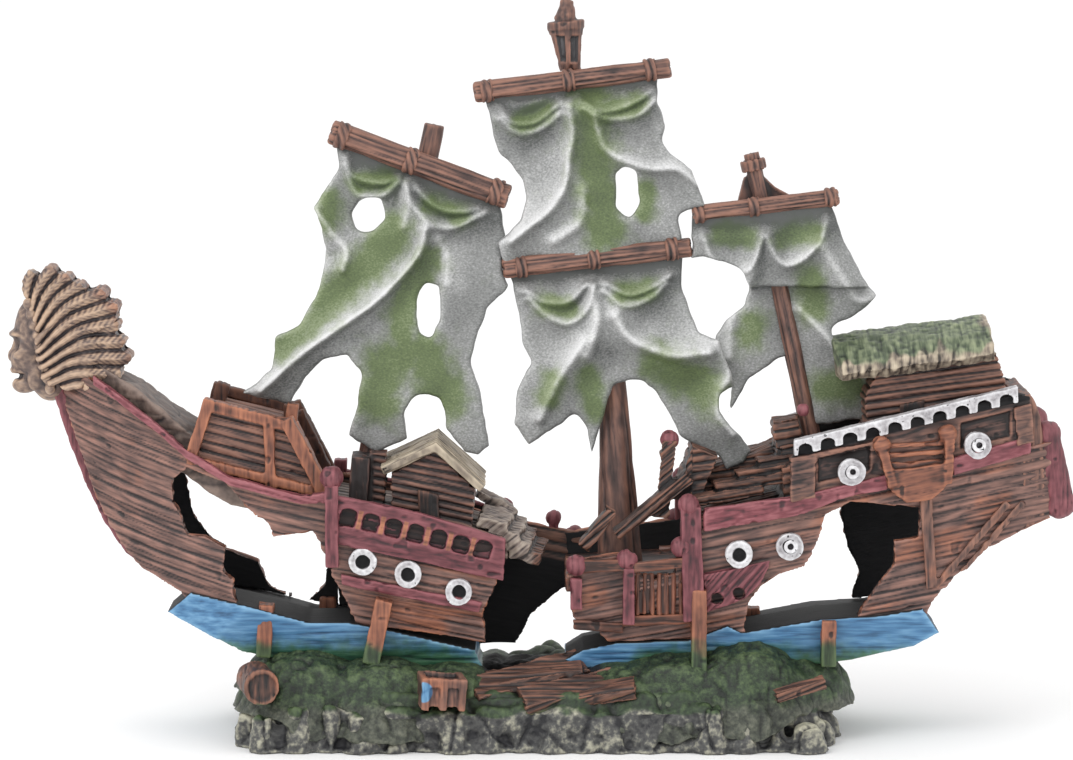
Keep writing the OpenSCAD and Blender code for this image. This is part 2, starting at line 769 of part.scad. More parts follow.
module fore_sail() {
    difference() {
        sail([
            [-56, 166], [-55, 159], [-62, 148.5], [-58.5, 136], [-61.5, 123], [-66, 115.5], [-72.5, 112],
            [-74, 103], [-82, 96], [-69, 93], [-66, 98], [-60, 105], [-53, 107], [-49, 102],
            [-50, 93], [-53, 84], [-45, 79], [-36, 83], [-37, 90], [-34.5, 94.5], [-31, 96], [-27.5, 94.5],
            [-25, 90], [-25, 86],
            [-20, 79], [-16, 78], [-13, 81], [-14, 89], [-18, 105], [-14, 120], [-8, 126],
            [-10, 132], [-9, 140], [-10, 152]
        ]);
        sail([[-52, 146], [-49, 151], [-43, 151], [-42, 145], [-46, 141], [-51, 142]]);
        sail([[-34, 115], [-34, 122], [-31, 127], [-27, 126], [-27, 116], [-30, 111], [-33, 112]]);
    }
}
module top_sail() {
    difference() {
        sail([
            [-15, 180], [-10.5, 163], [-3.5, 155.5], [-2.5, 150], [-4, 145], [-11, 138.5], [-9, 131], [40.5, 136],
            [40, 146], [47, 149], [43, 159], [37, 163], [35, 167], [36, 171], [33.5, 177], [34, 187]
        ]);
        sail([[22, 148], [22, 157], [25, 159], [28, 158], [29, 149], [26, 145]]);
    }
}
module course_sail() {
    sail([
        [-9, 131], [-7, 126], [-5, 119], [-4, 110], [-1, 105], [-5, 97], [-6.5, 87], [-2, 81.5],
        [4, 85], [10.5, 90],
        [14, 86], [16, 79], [18, 88], [21, 98], [26, 100], [30, 100], [35, 94], [40, 84], [47, 79],
        [51, 78], [53, 74], [58, 76], [60, 80], [55, 86], [51, 91], [51, 96], [55, 98], [53, 105],
        [51, 112], [45, 113], [43, 118], [41, 125], [41, 136]
    ]);
}
// The mizzen sail hangs in front of its mast above drape_z and behind it below.
mizzen_outline = [
    [44, 147], [43, 134], [46, 134.5], [51, 133], [58, 130.5], [60, 125.5], [59, 120], [54, 116],
    [50, 112], [50, 104], [55, 98], [54, 90], [59, 98.5], [64, 102], [70, 105.5], [73, 106],
    [78, 86], [99, 88], [95, 98], [87, 105], [83, 114], [92, 118], [96, 122.5], [91, 130],
    [86, 138], [82, 149.5]
];
drape_z = 129;
module mizzen_sail() {
    color(canvas) {
        intersection() {
            side_slab(mizzen_outline, yard_y - sail_t / 2, yard_y + sail_t / 2);
            translate([0, -reach, drape_z]) cube([2 * reach, 2 * reach, reach]);
        }
        intersection() {
            side_slab(mizzen_outline, yard_y - sail_t / 2, sail_t);
            translate([0, -reach, drape_z - 3]) cube([2 * reach, 2 * reach, 3]);
        }
        intersection() {
            side_slab(mizzen_outline, 0, sail_t);
            translate([0, -reach, 0]) cube([2 * reach, 2 * reach, drape_z - 3]);
        }
    }
}

// The masthead lantern: a tapered body, a rim and a flame-shaped cap.
module lantern() {
    color(rust) {
        pole([9.5, 0, 186], [8.2, 0, 197.5], 3, 5);
        pole([8.2, 0, 197.5], [8, 0, 199.8], 5.4, 5.4);
        pole([8, 0, 199.8], [8.6, 0, 205.5], 3.2, 1.6);
    }
}

// ---- figurehead ----

skull_centre = [-140.5, 0, 107];
module skull() {
    color(gold) translate(skull_centre) rotate([0, 8, 0]) {
        difference() {
            union() {
                translate([1.4, 0, 3.6]) sphere(7);
                translate([-5, -4.4, -10.5]) cube([9, 8.8, 14]);
                translate([-7.5, -1.5, -1.8]) cube([4, 3, 4.4]);
                translate([-6.6, -3.4, -9]) cube([4, 6.8, 4]);
                translate([2, -4, -12]) cube([14, 8, 14]);
            }
            both_sides() translate([-5.2, -3.4, 1.6]) rotate([0, -90, -25]) cylinder(h = 8, r = 2.1);
        }
    }
}

// Feathers stand in a fan behind the head, each a rounded blade on its own spoke.
fan_centre = [-135.5, 0, 107.5];
feather_count = 11;
module feather_fan() {
    color(gold) translate(fan_centre) rotate([90, 0, 0]) {
        for (i = [0 : feather_count - 1]) {
            angle = 106 - i * 14;
            length = 22.5 + 1.4 * sin(i * 100) - 0.35 * i;
            half = 6.5 + 0.4 * (i % 3);
            rotate(angle) translate([4, 0, -half]) linear_extrude(2 * half) {
                translate([0, -2.2]) square([length - 7, 4.4]);
                translate([length - 7, 0]) circle(3.1);
            }
        }
        translate([4, -1, -8.5]) cylinder(h = 17, r = 9);
    }
}

base_rock();
moss_mounds();
rim_rocks();
barrel_end();
sunken_chest();
driftwood_planks();
support_stubs();
keel_fore();
keel_aft();
air_spigot();
air_tube();
air_stone();
hull_bow_near();
hull_bow_far();
hull_mid_near();
hull_mid_far();
stem_strake();
sheer_rail_fore();
wale_fore();
window_band();
port_rings();
fore_deck();
main_deck();
forecastle_house();
forecastle_frame();
hut_walls();
hut_roof();
doors();
hull_aft_near();
hull_aft_far();
sheer_rail_aft();
balcony();
balusters();
trim_posts();
post_balls();
lower_panel();
cannons();
poop_bulwark();
balustrade();
boat_bay();
poop_deck();
stern_frame();
stern_log();
poop_cabin();
cabin_roof();
deck_debris();
fore_mast();
main_mast();
mizzen_mast();
fore_yard();
main_yards();
mizzen_yard();
lashings();
fore_sail();
top_sail();
course_sail();
mizzen_sail();
lantern();
skull();
feather_fan();
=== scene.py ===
"""Looks of the shipwreck ornament: each CAD node is carved and painted as hand-finished cast resin.

Lengths inside this script are in mm until a mesh is written. The near side of the ship faces -Y.
"""
import math

import bmesh
import bpy
import numpy as np
from mathutils import Matrix, Vector


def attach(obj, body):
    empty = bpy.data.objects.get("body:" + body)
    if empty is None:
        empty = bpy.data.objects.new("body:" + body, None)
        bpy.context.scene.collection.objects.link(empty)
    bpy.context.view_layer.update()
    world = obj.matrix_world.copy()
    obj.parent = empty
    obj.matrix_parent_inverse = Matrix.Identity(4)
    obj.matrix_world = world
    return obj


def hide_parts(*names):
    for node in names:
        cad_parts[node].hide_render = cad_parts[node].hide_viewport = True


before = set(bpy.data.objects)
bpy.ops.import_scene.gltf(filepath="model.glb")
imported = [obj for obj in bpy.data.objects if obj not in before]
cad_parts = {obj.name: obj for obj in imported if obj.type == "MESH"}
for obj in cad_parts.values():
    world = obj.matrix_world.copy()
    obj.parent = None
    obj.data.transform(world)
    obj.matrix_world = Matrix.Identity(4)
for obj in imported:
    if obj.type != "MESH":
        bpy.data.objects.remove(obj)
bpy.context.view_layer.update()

MM = 0.001
CAMERA_TILT = 6.3         # degrees above the horizon
CAMERA_DISTANCE = 1.259   # m
CAMERA_HEIGHT = 0.0989    # m, the level that the camera looks at
FINE, MEDIUM, COARSE = 0.38, 0.5, 0.65   # voxel sizes

# ---- noise ----


def lattice(cell, seed):
    """A number from 0 to 1 for each row of three whole numbers."""
    key = cell[:, 0] * 374761393 + cell[:, 1] * 668265263 + cell[:, 2] * 1442695041 + seed * 974634777
    key = (key ^ (key >> 13)) * 1274126177
    key = key ^ (key >> 16)
    return (key & 0xFFFF) / 65535.0


def noise(p, size, seed):
    """Smooth noise from 0 to 1 with features about size across, which may differ along each axis."""
    q = p / np.asarray(size, dtype=float)
    base = np.floor(q).astype(np.int64)
    t = q - base
    t = t * t * (3 - 2 * t)
    total = np.zeros(len(p))
    for corner in np.ndindex(2, 2, 2):
        weight = np.prod(np.where(corner, t, 1 - t), axis=1)
        total += weight * lattice(base + np.array(corner), seed)
    return total


def fbm(p, size, seed, octaves=3):
    """Layered noise, from 0 to 1."""
    total = np.zeros(len(p))
    for i in range(octaves):
        total += noise(p, np.asarray(size, dtype=float) / 2 ** i, seed + i) / 2 ** i
    return total / (2 - 2 ** (1 - octaves))


def lumps(p, size, seed):
    """1 in the middle of each scattered cell, falling to 0 where two cells meet."""
    q = p / size
    base = np.floor(q).astype(np.int64)
    nearest = np.full(len(p), 9.0)
    second = np.full(len(p), 9.0)
    for step in np.ndindex(3, 3, 3):
        cell = base + np.array(step) - 1
        spot = cell + np.stack([lattice(cell, seed + k) for k in range(3)], axis=1)
        d = np.linalg.norm(q - spot, axis=1)
        second = np.minimum(second, np.maximum(nearest, d))
        nearest = np.minimum(nearest, d)
    return np.clip((second - nearest) * 2.2, 0, 1)


def creases(p, size, seed, sharp=4):
    """Thin lines, near 1, where the noise crosses its middle."""
    return (1 - abs(2 * noise(p, size, seed) - 1)) ** sharp


def ramp(x, low, high):
    """0 below low, 1 above high, smooth between."""
    t = np.clip((x - low) / (high - low), 0, 1)
    return t * t * (3 - 2 * t)


def bell(x, width):
    return np.exp(-(x / width) ** 2)


# ---- meshes ----


def voxel_mesh(sources, size):
    """One closed skin round all the source meshes, on a grid of the given size."""
    both = bmesh.new()
    for source in sources:
        both.from_mesh(source)
    mesh = bpy.data.meshes.new("lump")
    both.to_mesh(mesh)
    both.free()
    holder = bpy.data.objects.new("lump", mesh)
    bpy.context.collection.objects.link(holder)
    remesh = holder.modifiers.new("remesh", "REMESH")
    remesh.mode = "VOXEL"
    remesh.voxel_size = size * MM
    out = bpy.data.meshes.new_from_object(holder.evaluated_get(bpy.context.evaluated_depsgraph_get()))
    bpy.data.objects.remove(holder)
    bpy.data.meshes.remove(mesh)
    return out


def points_of(mesh):
    flat = np.empty(len(mesh.vertices) * 3)
    mesh.vertices.foreach_get("co", flat)
    return flat.reshape(-1, 3) / MM


def set_points(mesh, p):
    mesh.vertices.foreach_set("co", (p * MM).ravel())
    mesh.update()


def normals_of(mesh):
    flat = np.empty(len(mesh.vertices) * 3)
    mesh.vertex_normals.foreach_get("vector", flat)
    return flat.reshape(-1, 3)


def edges_of(mesh):
    flat = np.empty(len(mesh.edges) * 2, dtype=np.int32)
    mesh.edges.foreach_get("vertices", flat)
    return flat.reshape(-1, 2).astype(np.int64)


def relax(p, edges, times, strength=0.5):
    """Each point moves towards the middle of its neighbours."""
    a, b = edges.T
    count = np.bincount(edges.ravel(), minlength=len(p))[:, None]
    for _ in range(times):
        total = np.stack([np.bincount(a, p[b, k], len(p)) + np.bincount(b, p[a, k], len(p))
                          for k in range(3)], axis=1)
        p = p + strength * (total / np.maximum(count, 1) - p)
    return p


def add_attribute(mesh, name, kind, values):
    layer = mesh.attributes.new(name, kind, "POINT")
    layer.data.foreach_set("vector" if kind == "FLOAT_VECTOR" else "value", values.ravel())


class Carving:
    """What a relief function gives back: the height along the normal and the masks for the paint."""

    def __init__(self, height, grain, tint=0.0, dark=0.0, tone=0.0, accent=0.0):
        self.height = height
        self.grain = grain
        self.accent = accent + np.zeros(len(height))
        self.tint = tint + np.zeros(len(height))
        self.dark = dark + np.zeros(len(height))
        self.tone = tone + np.zeros(len(height))


def sculpt(name, nodes, relief, material, size=MEDIUM, soften=1, sources=None, bend=None, contrast=0.28,
           reach=14):
    """One painted piece for some CAD nodes: a voxel skin, bent, carved by relief and painted."""
    meshes = sources or [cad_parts[node].data for node in nodes]
    mesh = voxel_mesh(meshes, size)
    edges = edges_of(mesh)
    p = relax(points_of(mesh), edges, soften)
    if bend:
        p = bend(p)
    set_points(mesh, p)
    n = normals_of(mesh)
    carving = relief(p, n)
    p = p + n * carving.height[:, None]
    p[:, 2] = np.maximum(p[:, 2], 0)
    set_points(mesh, p)
    # Tone: darker in hollows and lighter on ridges, both as the resin's dark wash and dry-brush and as
    # painted shade in the hollows and painted highlight on the ridges.
    stand_out = ((p - relax(p, edges, reach)) * n).sum(axis=1)
    tone = 0.5 + 0.5 * np.tanh(stand_out / contrast) + carving.tone
    add_attribute(mesh, "tone", "FLOAT", tone)
    add_attribute(mesh, "tint", "FLOAT", carving.tint)
    add_attribute(mesh, "dark", "FLOAT", carving.dark)
    add_attribute(mesh, "accent", "FLOAT", carving.accent)
    add_attribute(mesh, "grain", "FLOAT_VECTOR", carving.grain)
    mesh.polygons.foreach_set("use_smooth", np.ones(len(mesh.polygons), dtype=bool))
    mesh.materials.append(material)
    piece = bpy.data.objects.new(name, mesh)
    bpy.context.collection.objects.link(piece)
    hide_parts(*nodes)
    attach(piece, "root")
    return piece


# ---- paint ----


def linear(colour):
    """A display colour, 0 to 255, as the shader's linear colour."""
    parts = [c / 255 for c in colour]
    return [c / 12.92 if c <= 0.04045 else ((c + 0.055) / 1.055) ** 2.4 for c in parts] + [1]


class Shader:
    """Short names for building a node tree."""

    def __init__(self, name):
        self.material = bpy.data.materials.new(name)
        self.material.use_nodes = True
        self.tree = self.material.node_tree
        self.surface = self.tree.nodes["Principled BSDF"]

    def node(self, kind, **values):
        made = self.tree.nodes.new(kind)
        for key, value in values.items():
            setattr(made, key, value)
        return made

    def link(self, a, b):
        self.tree.links.new(a, b)

    def attribute(self, name):
        return self.node("ShaderNodeAttribute", attribute_name=name).outputs

    def math(self, operation, a, b):
        made = self.node("ShaderNodeMath", operation=operation)
        for socket, value in zip(made.inputs, (a, b)):
            if isinstance(value, (int, float)):
                socket.default_value = value
            else:
                self.link(value, socket)
        return made.outputs[0]

    def noise(self, vector, scale, detail=3.0, stretch=(1, 1, 1)):
        mapping = self.node("ShaderNodeMapping")
        mapping.inputs["Scale"].default_value = stretch
        self.link(vector, mapping.inputs["Vector"])
        made = self.node("ShaderNodeTexNoise")
        made.inputs["Scale"].default_value = scale
        made.inputs["Detail"].default_value = detail
        self.link(mapping.outputs[0], made.inputs["Vector"])
        return made.outputs[0]

    def colours(self, factor, stops):
        made = self.node("ShaderNodeValToRGB")
        band = made.color_ramp.elements
        while len(band) < len(stops):
            band.new(0.5)
        for element, (place, colour) in zip(band, stops):
            element.position = place
            element.color = linear(colour)
        self.link(factor, made.inputs[0])
        return made.outputs[0]

    def mix(self, factor, a, b):
        made = self.node("ShaderNodeMix", data_type="RGBA")
        self.link(factor, made.inputs["Factor"])
        for socket, value in ((made.inputs[6], a), (made.inputs[7], b)):
            if isinstance(value, (list, tuple)):
                socket.default_value = value
            else:
                self.link(value, socket)
        return made.outputs[2]

    def step(self, value, low, high):
        made = self.node("ShaderNodeMapRange", interpolation_type="SMOOTHSTEP")
        made.inputs["From Min"].default_value = low
        made.inputs["From Max"].default_value = high
        self.link(value, made.inputs["Value"])
        return made.outputs[0]


def paint(name, main, second, stretch=(0.12, 1, 0.3), streaks=0.45, patches=0.3, fleck=None,
          gloss=(0.45, 0.65), bump=0.35, fine=1.1, blend=(0.3, 0.7), accent=None):
    """Hand-painted resin. main, second and accent are (wash, middle, light) colours, mixed by the masks;
    the wash end also shows painted shade and the light end painted highlight.
    """
    s = Shader(name)
    grain = s.attribute("grain")["Vector"]
    tone = s.attribute("tone")["Fac"]
    brush = s.noise(grain, fine, 4, stretch)
    broad = s.noise(grain, 0.13, 2)
    tone = s.math("ADD", tone, s.math("MULTIPLY", s.math("SUBTRACT", brush, 0.5), streaks * 2))
    tone = s.math("ADD", tone, s.math("MULTIPLY", s.math("SUBTRACT", broad, 0.5), patches * 2))
    stops = (0.2, 0.5, 0.92)
    first = s.colours(tone, list(zip(stops, main)))
    other = s.colours(tone, list(zip(stops, second)))
    share = s.math("ADD", s.attribute("tint")["Fac"],
                   s.math("MULTIPLY", s.math("SUBTRACT", s.noise(grain, 0.3, 3), 0.5), blend[1] - blend[0]))
    colour = s.mix(s.step(share, *blend), first, other)
    if accent:
        third = s.colours(tone, list(zip(stops, accent)))
        colour = s.mix(s.step(s.attribute("accent")["Fac"], 0.25, 0.75), colour, third)
    if fleck:
        spots = s.step(s.noise(grain, 0.9, 2), fleck[1], fleck[1] + 0.06)
        colour = s.mix(spots, colour, linear(fleck[0]))
    dark = s.step(s.attribute("dark")["Fac"], 0.1, 0.9)
    colour = s.mix(dark, colour, linear((17, 17, 20)))
    s.link(colour, s.surface.inputs["Base Color"])
    rough = s.node("ShaderNodeMapRange")
    rough.inputs["To Min"].default_value = gloss[0]
    rough.inputs["To Max"].default_value = gloss[1]
    s.link(brush, rough.inputs["Value"])
    s.link(s.math("ADD", rough.outputs[0], s.math("MULTIPLY", dark, 0.25)), s.surface.inputs["Roughness"])
    relief = s.node("ShaderNodeBump")
    relief.inputs["Strength"].default_value = bump
    relief.inputs["Distance"].default_value = 0.0003
    s.link(s.noise(grain, fine * 1.8, 4, stretch), relief.inputs["Height"])
    s.link(relief.outputs[0], s.surface.inputs["Normal"])
    return s.material


BROWN = ((38, 28, 28), (96, 71, 65), (152, 112, 99))
TIMBER = ((32, 24, 24), (86, 62, 56), (142, 102, 86))
DULL = ((34, 28, 28), (84, 70, 64), (130, 112, 102))
ORANGE = ((52, 33, 28), (118, 73, 57), (170, 110, 82))
WRECK = ((22, 18, 19), (72, 50, 43), (134, 92, 74))
PLUM = ((48, 24, 30), (94, 46, 53), (138, 80, 86))
PINK = ((58, 27, 33), (114, 54, 62), (160, 98, 103))
WHITE = ((64, 60, 64), (172, 169, 172), (226, 226, 228))
SPECKLED = ((30, 28, 32), (110, 106, 110), (190, 188, 190))
GREEN = ((58, 70, 46), (94, 109, 70), (154, 164, 132))
GREY = ((76, 78, 77), (136, 137, 136), (214, 214, 214))
MOSS = ((18, 27, 18), (44, 60, 38), (86, 104, 68))
MUD = ((30, 33, 28), (62, 66, 56), (104, 106, 92))
ROCK = ((26, 26, 30), (78, 78, 76), (186, 183, 162))
CREAM = ((54, 48, 44), (130, 118, 104), (190, 176, 154))
THATCH = ((36, 45, 34), (84, 95, 72), (144, 152, 120))
GOLD = ((40, 33, 36), (100, 83, 77), (186, 158, 134))
COPPER = ((36, 26, 28), (100, 70, 62), (170, 124, 100))
BLUE = ((32, 66, 100), (70, 118, 158), (118, 164, 198))
TEAL = ((20, 44, 36), (44, 84, 62), (80, 120, 88))
BLACK = ((10, 10, 11), (24, 24, 26), (46, 46, 48))
CLEAR = ((140, 146, 148), (196, 202, 204), (230, 234, 234))
STONE = ((50, 62, 80), (104, 120, 142), (154, 168, 186))
RUBBLE = ((52, 46, 44), (122, 108, 101), (168, 155, 142))
PANE = ((44, 42, 44), (82, 80, 82), (124, 120, 120))
ROUND = (1, 1, 1)

paints = {
    "hull": paint("hull_paint", BROWN, ORANGE, streaks=0.5, accent=WRECK),
    "timber": paint("timber_paint", TIMBER, ORANGE, streaks=0.55, accent=PANE),
    "orange": paint("orange_paint", ORANGE, TIMBER, accent=MOSS),
    "chest": paint("chest_paint", ORANGE, TIMBER, accent=BLUE),
    "deck": paint("deck_paint", DULL, WRECK, stretch=(0.3, 1, 0.5)),
    "wreck": paint("wreck_paint", WRECK, ORANGE, streaks=0.6, accent=MOSS),
    "rubble": paint("rubble_paint", WRECK, ORANGE, streaks=0.6, accent=RUBBLE),
    "plum": paint("plum_paint", PLUM, PINK, stretch=(0.2, 1, 0.5), accent=ORANGE),
    "white": paint("white_paint", WHITE, SPECKLED, stretch=ROUND, streaks=0.3, fleck=((30, 28, 32), 0.66)),
    "sail": paint("sail_paint", GREY, GREEN, stretch=(0.7, 1, 1), streaks=0.3, patches=0.05, fine=2.2,
                  blend=(0.05, 0.85)),
    "rock": paint("rock_paint", ROCK, MOSS, stretch=ROUND, streaks=0.45, patches=0.2, fine=0.8, bump=0.6),
    "moss": paint("moss_paint", MOSS, MUD, stretch=ROUND, streaks=0.5, bump=0.8, blend=(0.1, 0.9)),
    "water": paint("water_paint", BLUE, TEAL, stretch=(0.1, 1, 1), streaks=0.45, patches=0.15,
                   gloss=(0.32, 0.48), blend=(0.15, 0.85)),
    "straw": paint("straw_paint", CREAM, THATCH, streaks=0.5, blend=(0.2, 0.8)),
    "gold": paint("gold_paint", GOLD, COPPER, stretch=(0.3, 1, 0.5), streaks=0.4, gloss=(0.36, 0.52)),
    "fitting": paint("fitting_paint", BLACK, BLACK, stretch=ROUND),
    "tube": paint("tube_paint", CLEAR, CLEAR, stretch=ROUND, streaks=0.15, patches=0.1),
    "stone": paint("stone_paint", STONE, STONE, stretch=ROUND, streaks=0.6, bump=0.9),
}

# ---- carving ----


def board_grain(p, n, drop):
    """Along, across and into the boards, whose lines fall by drop mm for each mm towards the break."""
    top = abs(n[:, 2]) > 0.8
    across = np.where(top, p[:, 1], p[:, 2] - drop)
    into = np.where(top, p[:, 2], p[:, 1])
    return np.stack([p[:, 0], across, into], axis=1)


def boards(grain, width, deep, fine, seed):
    """Height of weathered boards: gaps between them, cracks along them and chips."""
    bow = 1.1 * (noise(grain, (22, 60, 40), seed) - 0.5)
    place = (grain[:, 1] + bow) / width
    row = np.floor(place)
    beside = np.minimum(place - row, row + 1 - place) * width
    cell = np.stack([row, row * 0, row * 0], axis=1).astype(np.int64)
    height = 0.34 * (lattice(cell, seed) - 0.5) - deep * bell(beside, 0.34)
    height -= fine * creases(grain, (18, 1.5, 14), seed + 3, 3)
    height -= 1.2 * fine * creases(grain, (26, 2.6, 20), seed + 5, 5)
    height += 0.3 * (fbm(grain, (9, 3, 6), seed + 7) - 0.5)
    height -= 0.3 * ramp(noise(grain, (4, 2.2, 3), seed + 9), 0.84, 0.92)
    return height


def pole_grain(p, foot, head):
    """Along the pole, round it and out from its axis."""
    foot = np.array(foot, dtype=float)
    run = np.array(head, dtype=float) - foot
    length = np.linalg.norm(run)
    run /= length
    side = np.array([0.0, 1.0, 0.0])
    other = np.cross(run, side)
    out = p - foot
    along = out @ run
    around = np.arctan2(out @ side, out @ other) * 3
    return np.stack([along, around, np.hypot(out @ side, out @ other)], axis=1)


def bark(grain, seed, deep):
    """Deep lengthwise grooves of a mast or a yard."""
    height = -deep * creases(grain, (34, 1.6, 50), seed, 3)
    height -= 0.5 * deep * creases(grain, (20, 1.1, 50), seed + 2, 3)
    height += 0.5 * (fbm(grain, (12, 4, 50), seed + 4) - 0.5)
    return height


def fore_fall(p):
    """How far the fore half's plank lines have fallen: steeply at the stem, less at the break."""
    x = p[:, 0] + 57
    return -0.2 * x + 0.00135 * np.minimum(x, 0) ** 2


def aft_fall(p):
    return math.tan(math.radians(11)) * (p[:, 0] - 20)


def inside_of_hull(p, n):
    """1 on the hull's inner faces, which are painted black."""
    return ramp(-n[:, 1] * np.sign(p[:, 1]), 0.15, 0.45) * (abs(p[:, 1]) < 27)


WINDOW_START, WINDOW_PITCH, WINDOW_COUNT = (-55, 71), 6.4, 7
PORTS = [(-48, 51.5), (-35.5, 48), (-21.5, 43), (56, 53.6), (70, 55.8), (87, 76.4), (122, 83.4)]
OVALS = [(50, 41), (56, 42.5)]


def gallery_place(p):
    """Distance along the gallery from the nearest window's middle, and height in the window band."""
    lean = math.radians(13.5)
    x = p[:, 0] - WINDOW_START[0]
    z = p[:, 2] - WINDOW_START[1]
    along = x * math.cos(lean) - z * math.sin(lean) - 4.6
    index = np.clip(np.round(along / WINDOW_PITCH), 0, WINDOW_COUNT - 1)
    return along - index * WINDOW_PITCH, x * math.sin(lean) + z * math.cos(lean)


def in_window(p):
    beside, up = gallery_place(p)
    return ramp(2.6 - abs(beside), 0, 0.4) * ramp(2.8 - abs(up + 6.1), 0, 0.4)


def near_spots(p, spots, radius):
    """1 within radius of any of the (x, z) spots."""
    nearest = np.full(len(p), 1e9)
    for x, z in spots:
        nearest = np.minimum(nearest, np.hypot(p[:, 0] - x, p[:, 2] - z))
    return ramp(radius + 0.3 - nearest, 0, 0.6)


def zero(p):
    """No fall of the boards, or a mask that covers nothing."""
    return np.zeros(len(p))


def hull_relief(fall, seed, orange=zero, sunk=zero, bulwark=zero):
    """Planks outside, black paint inside. sunk marks recesses and bulwark the brown tops inside."""
    def relief(p, n):
        grain = board_grain(p, n, fall(p))
        inner = inside_of_hull(p, n)
        broken = ramp(0.75 - abs(n[:, 1]), 0.1, 0.5)
        height = boards(grain, 3.1, 0.3, 0.3, seed) * (1 - inner * (1 - bulwark(p)))
        height += broken * 1.1 * (noise(grain, (4, 1.7, 5), seed + 20) - 0.5)
        height += inner * 0.6 * (fbm(p, 11, seed + 21) - 0.5)
        warm = 0.6 * broken * (1 - inner) + orange(p) - sunk(p)
        warm += 0.5 * ramp(noise(grain, (16, 4, 12), seed + 22), 0.5, 0.85) - 0.1
        black = np.maximum(inner * (1 - bulwark(p)), 0.75 * sunk(p))
        return Carving(height, grain, warm, black, 0, inner * bulwark(p))
    return relief


def trim_relief(fall, seed, warm, deep=0.2, accent=zero, sunk=zero):
    """Raised painted strips, black on their inner faces. sunk marks recesses in them."""
    def relief(p, n):
        grain = board_grain(p, n, fall(p))
        height = 0.6 * (fbm(p, (6, 5, 4), seed) - 0.5) - deep * creases(grain, (10, 1.3, 10), seed + 2)
        height -= 0.35 * ramp(noise(p, (2.6, 2.6, 2), seed + 4), 0.74, 0.88)
        height -= 1.3 * sunk(p)
        inner = inside_of_hull(p, n)
        tint = warm + 0.6 * (fbm(p, 9, seed + 6) - 0.5)
        return Carving(height, grain, tint, inner, -0.15 * sunk(p), accent(p))
    return relief


def post_relief(seed, warm=0.0, wobble=0.5, drop=None, upright=True, tone=0.0):
    """Rough timbers whose grain runs up them."""
    def relief(p, n):
        order = [2, 0, 1] if upright else [0, 2, 1]
        grain = p[:, order].copy()
        if drop:
            grain[:, 1] -= drop(p)
        height = -0.24 * creases(grain, (12, 1.3, 9), seed) + wobble * (fbm(p, 5, seed + 2) - 0.5)
        height -= 0.4 * ramp(noise(p, 2.4, seed + 4), 0.76, 0.9)
        return Carving(height, grain, warm + 0.5 * (noise(p, 7, seed + 6) - 0.5), 0, tone)
    return relief


def plain_relief(seed, amount):
    """Small dents all over."""
    def relief(p, n):
        return Carving(amount * (fbm(p, 3, seed) - 0.5), p.copy())
    return relief


def ring_relief(p, n):
    """Uneven hand-painted rings with a dark bore."""
    bore = near_spots(p, PORTS, 1.9)
    return Carving(0.7 * (fbm(p, 2.6, 172) - 0.5), p.copy(), 0.1, 0.95 * bore)


def board_relief(fall, seed, width=3.0, deep=0.6, warm=0.2):
    """Rough boards all over."""
    def relief(p, n):
        grain = board_grain(p, n, fall(p))
        tint = warm + 0.5 * (noise(grain, (14, 4, 9), seed + 30) - 0.5)
        return Carving(boards(grain, width, deep, 0.3, seed), grain, tint)
    return relief


def slope(degrees):
    return lambda p: math.tan(math.radians(degrees)) * p[:, 0]


def slope_up(p):
    return 1.2 * p[:, 0]


# ---- the base ----


def rim_share(p):
    """0 in the middle of the base and 1 at its rim."""
    return (abs(p[:, 0]) / 88) ** 10 + (abs(p[:, 1]) / 40) ** 3.6


def black_floor(p):
    """The bare black floor between the two halves of the hull."""
    return ramp(17 + 3 * noise(p, 6, 19) - abs(p[:, 0] - 2), 0, 3) * ramp(30 - abs(p[:, 1]), 0, 4)


def rock_relief(p, n):
    stones = lumps(p * [1, 1, 0.75], 13, 5)
    height = 2.4 * np.sqrt(stones) - 1.8 + 1.8 * (fbm(p, 6, 8, 4) - 0.5) + 0.5 * (noise(p, 1.5, 12) - 0.5)
    flat = ramp(p[:, 2], 0.2, 2.0)
    mossy = ramp(p[:, 2] + 9 * (fbm(p, 11, 18) - 0.5), 9.5, 14)
    # Upward faces lighter and the rest a little darker: cream dry-brush on the stones' tops, and painted
    # light from above.
    drybrush_and_highlight = 0.35 * ramp(n[:, 2], 0.0, 0.9) * (1 - mossy) - 0.12
    return Carving(height * flat, p.copy(), mossy, black_floor(p), drybrush_and_highlight)


def moss_bend(p):
    """The moss runs down over the rim in tongues, which are short at the base's two ends."""
    p = p.copy()
    ends = ramp(abs(p[:, 0]), 60, 78)
    tongues = (7 + 9 * (fbm(p, (9, 9, 30), 23) - 0.5)) * ramp(rim_share(p), 0.4, 1.0)
    p[:, 2] -= tongues * (1 - 0.85 * ends)
    p[:, 0] *= 0.985 - 0.035 * ends
    p[:, 1] *= 0.985
    p[:, 2] = np.maximum(p[:, 2], 1.5)
    return p


def moss_relief(p, n):
    height = 1.6 * (fbm(p, (9, 9, 6), 25, 3) - 0.5) + 1.1 * (fbm(p, 2.8, 29, 2) - 0.5)
    height -= 0.6 * creases(p, (3, 3, 7), 31, 3)
    low = 1 - ramp(p[:, 2] + 5 * (fbm(p, 8, 35) - 0.5), 9, 17)
    return Carving(height, p.copy(), low, black_floor(p), -0.05)


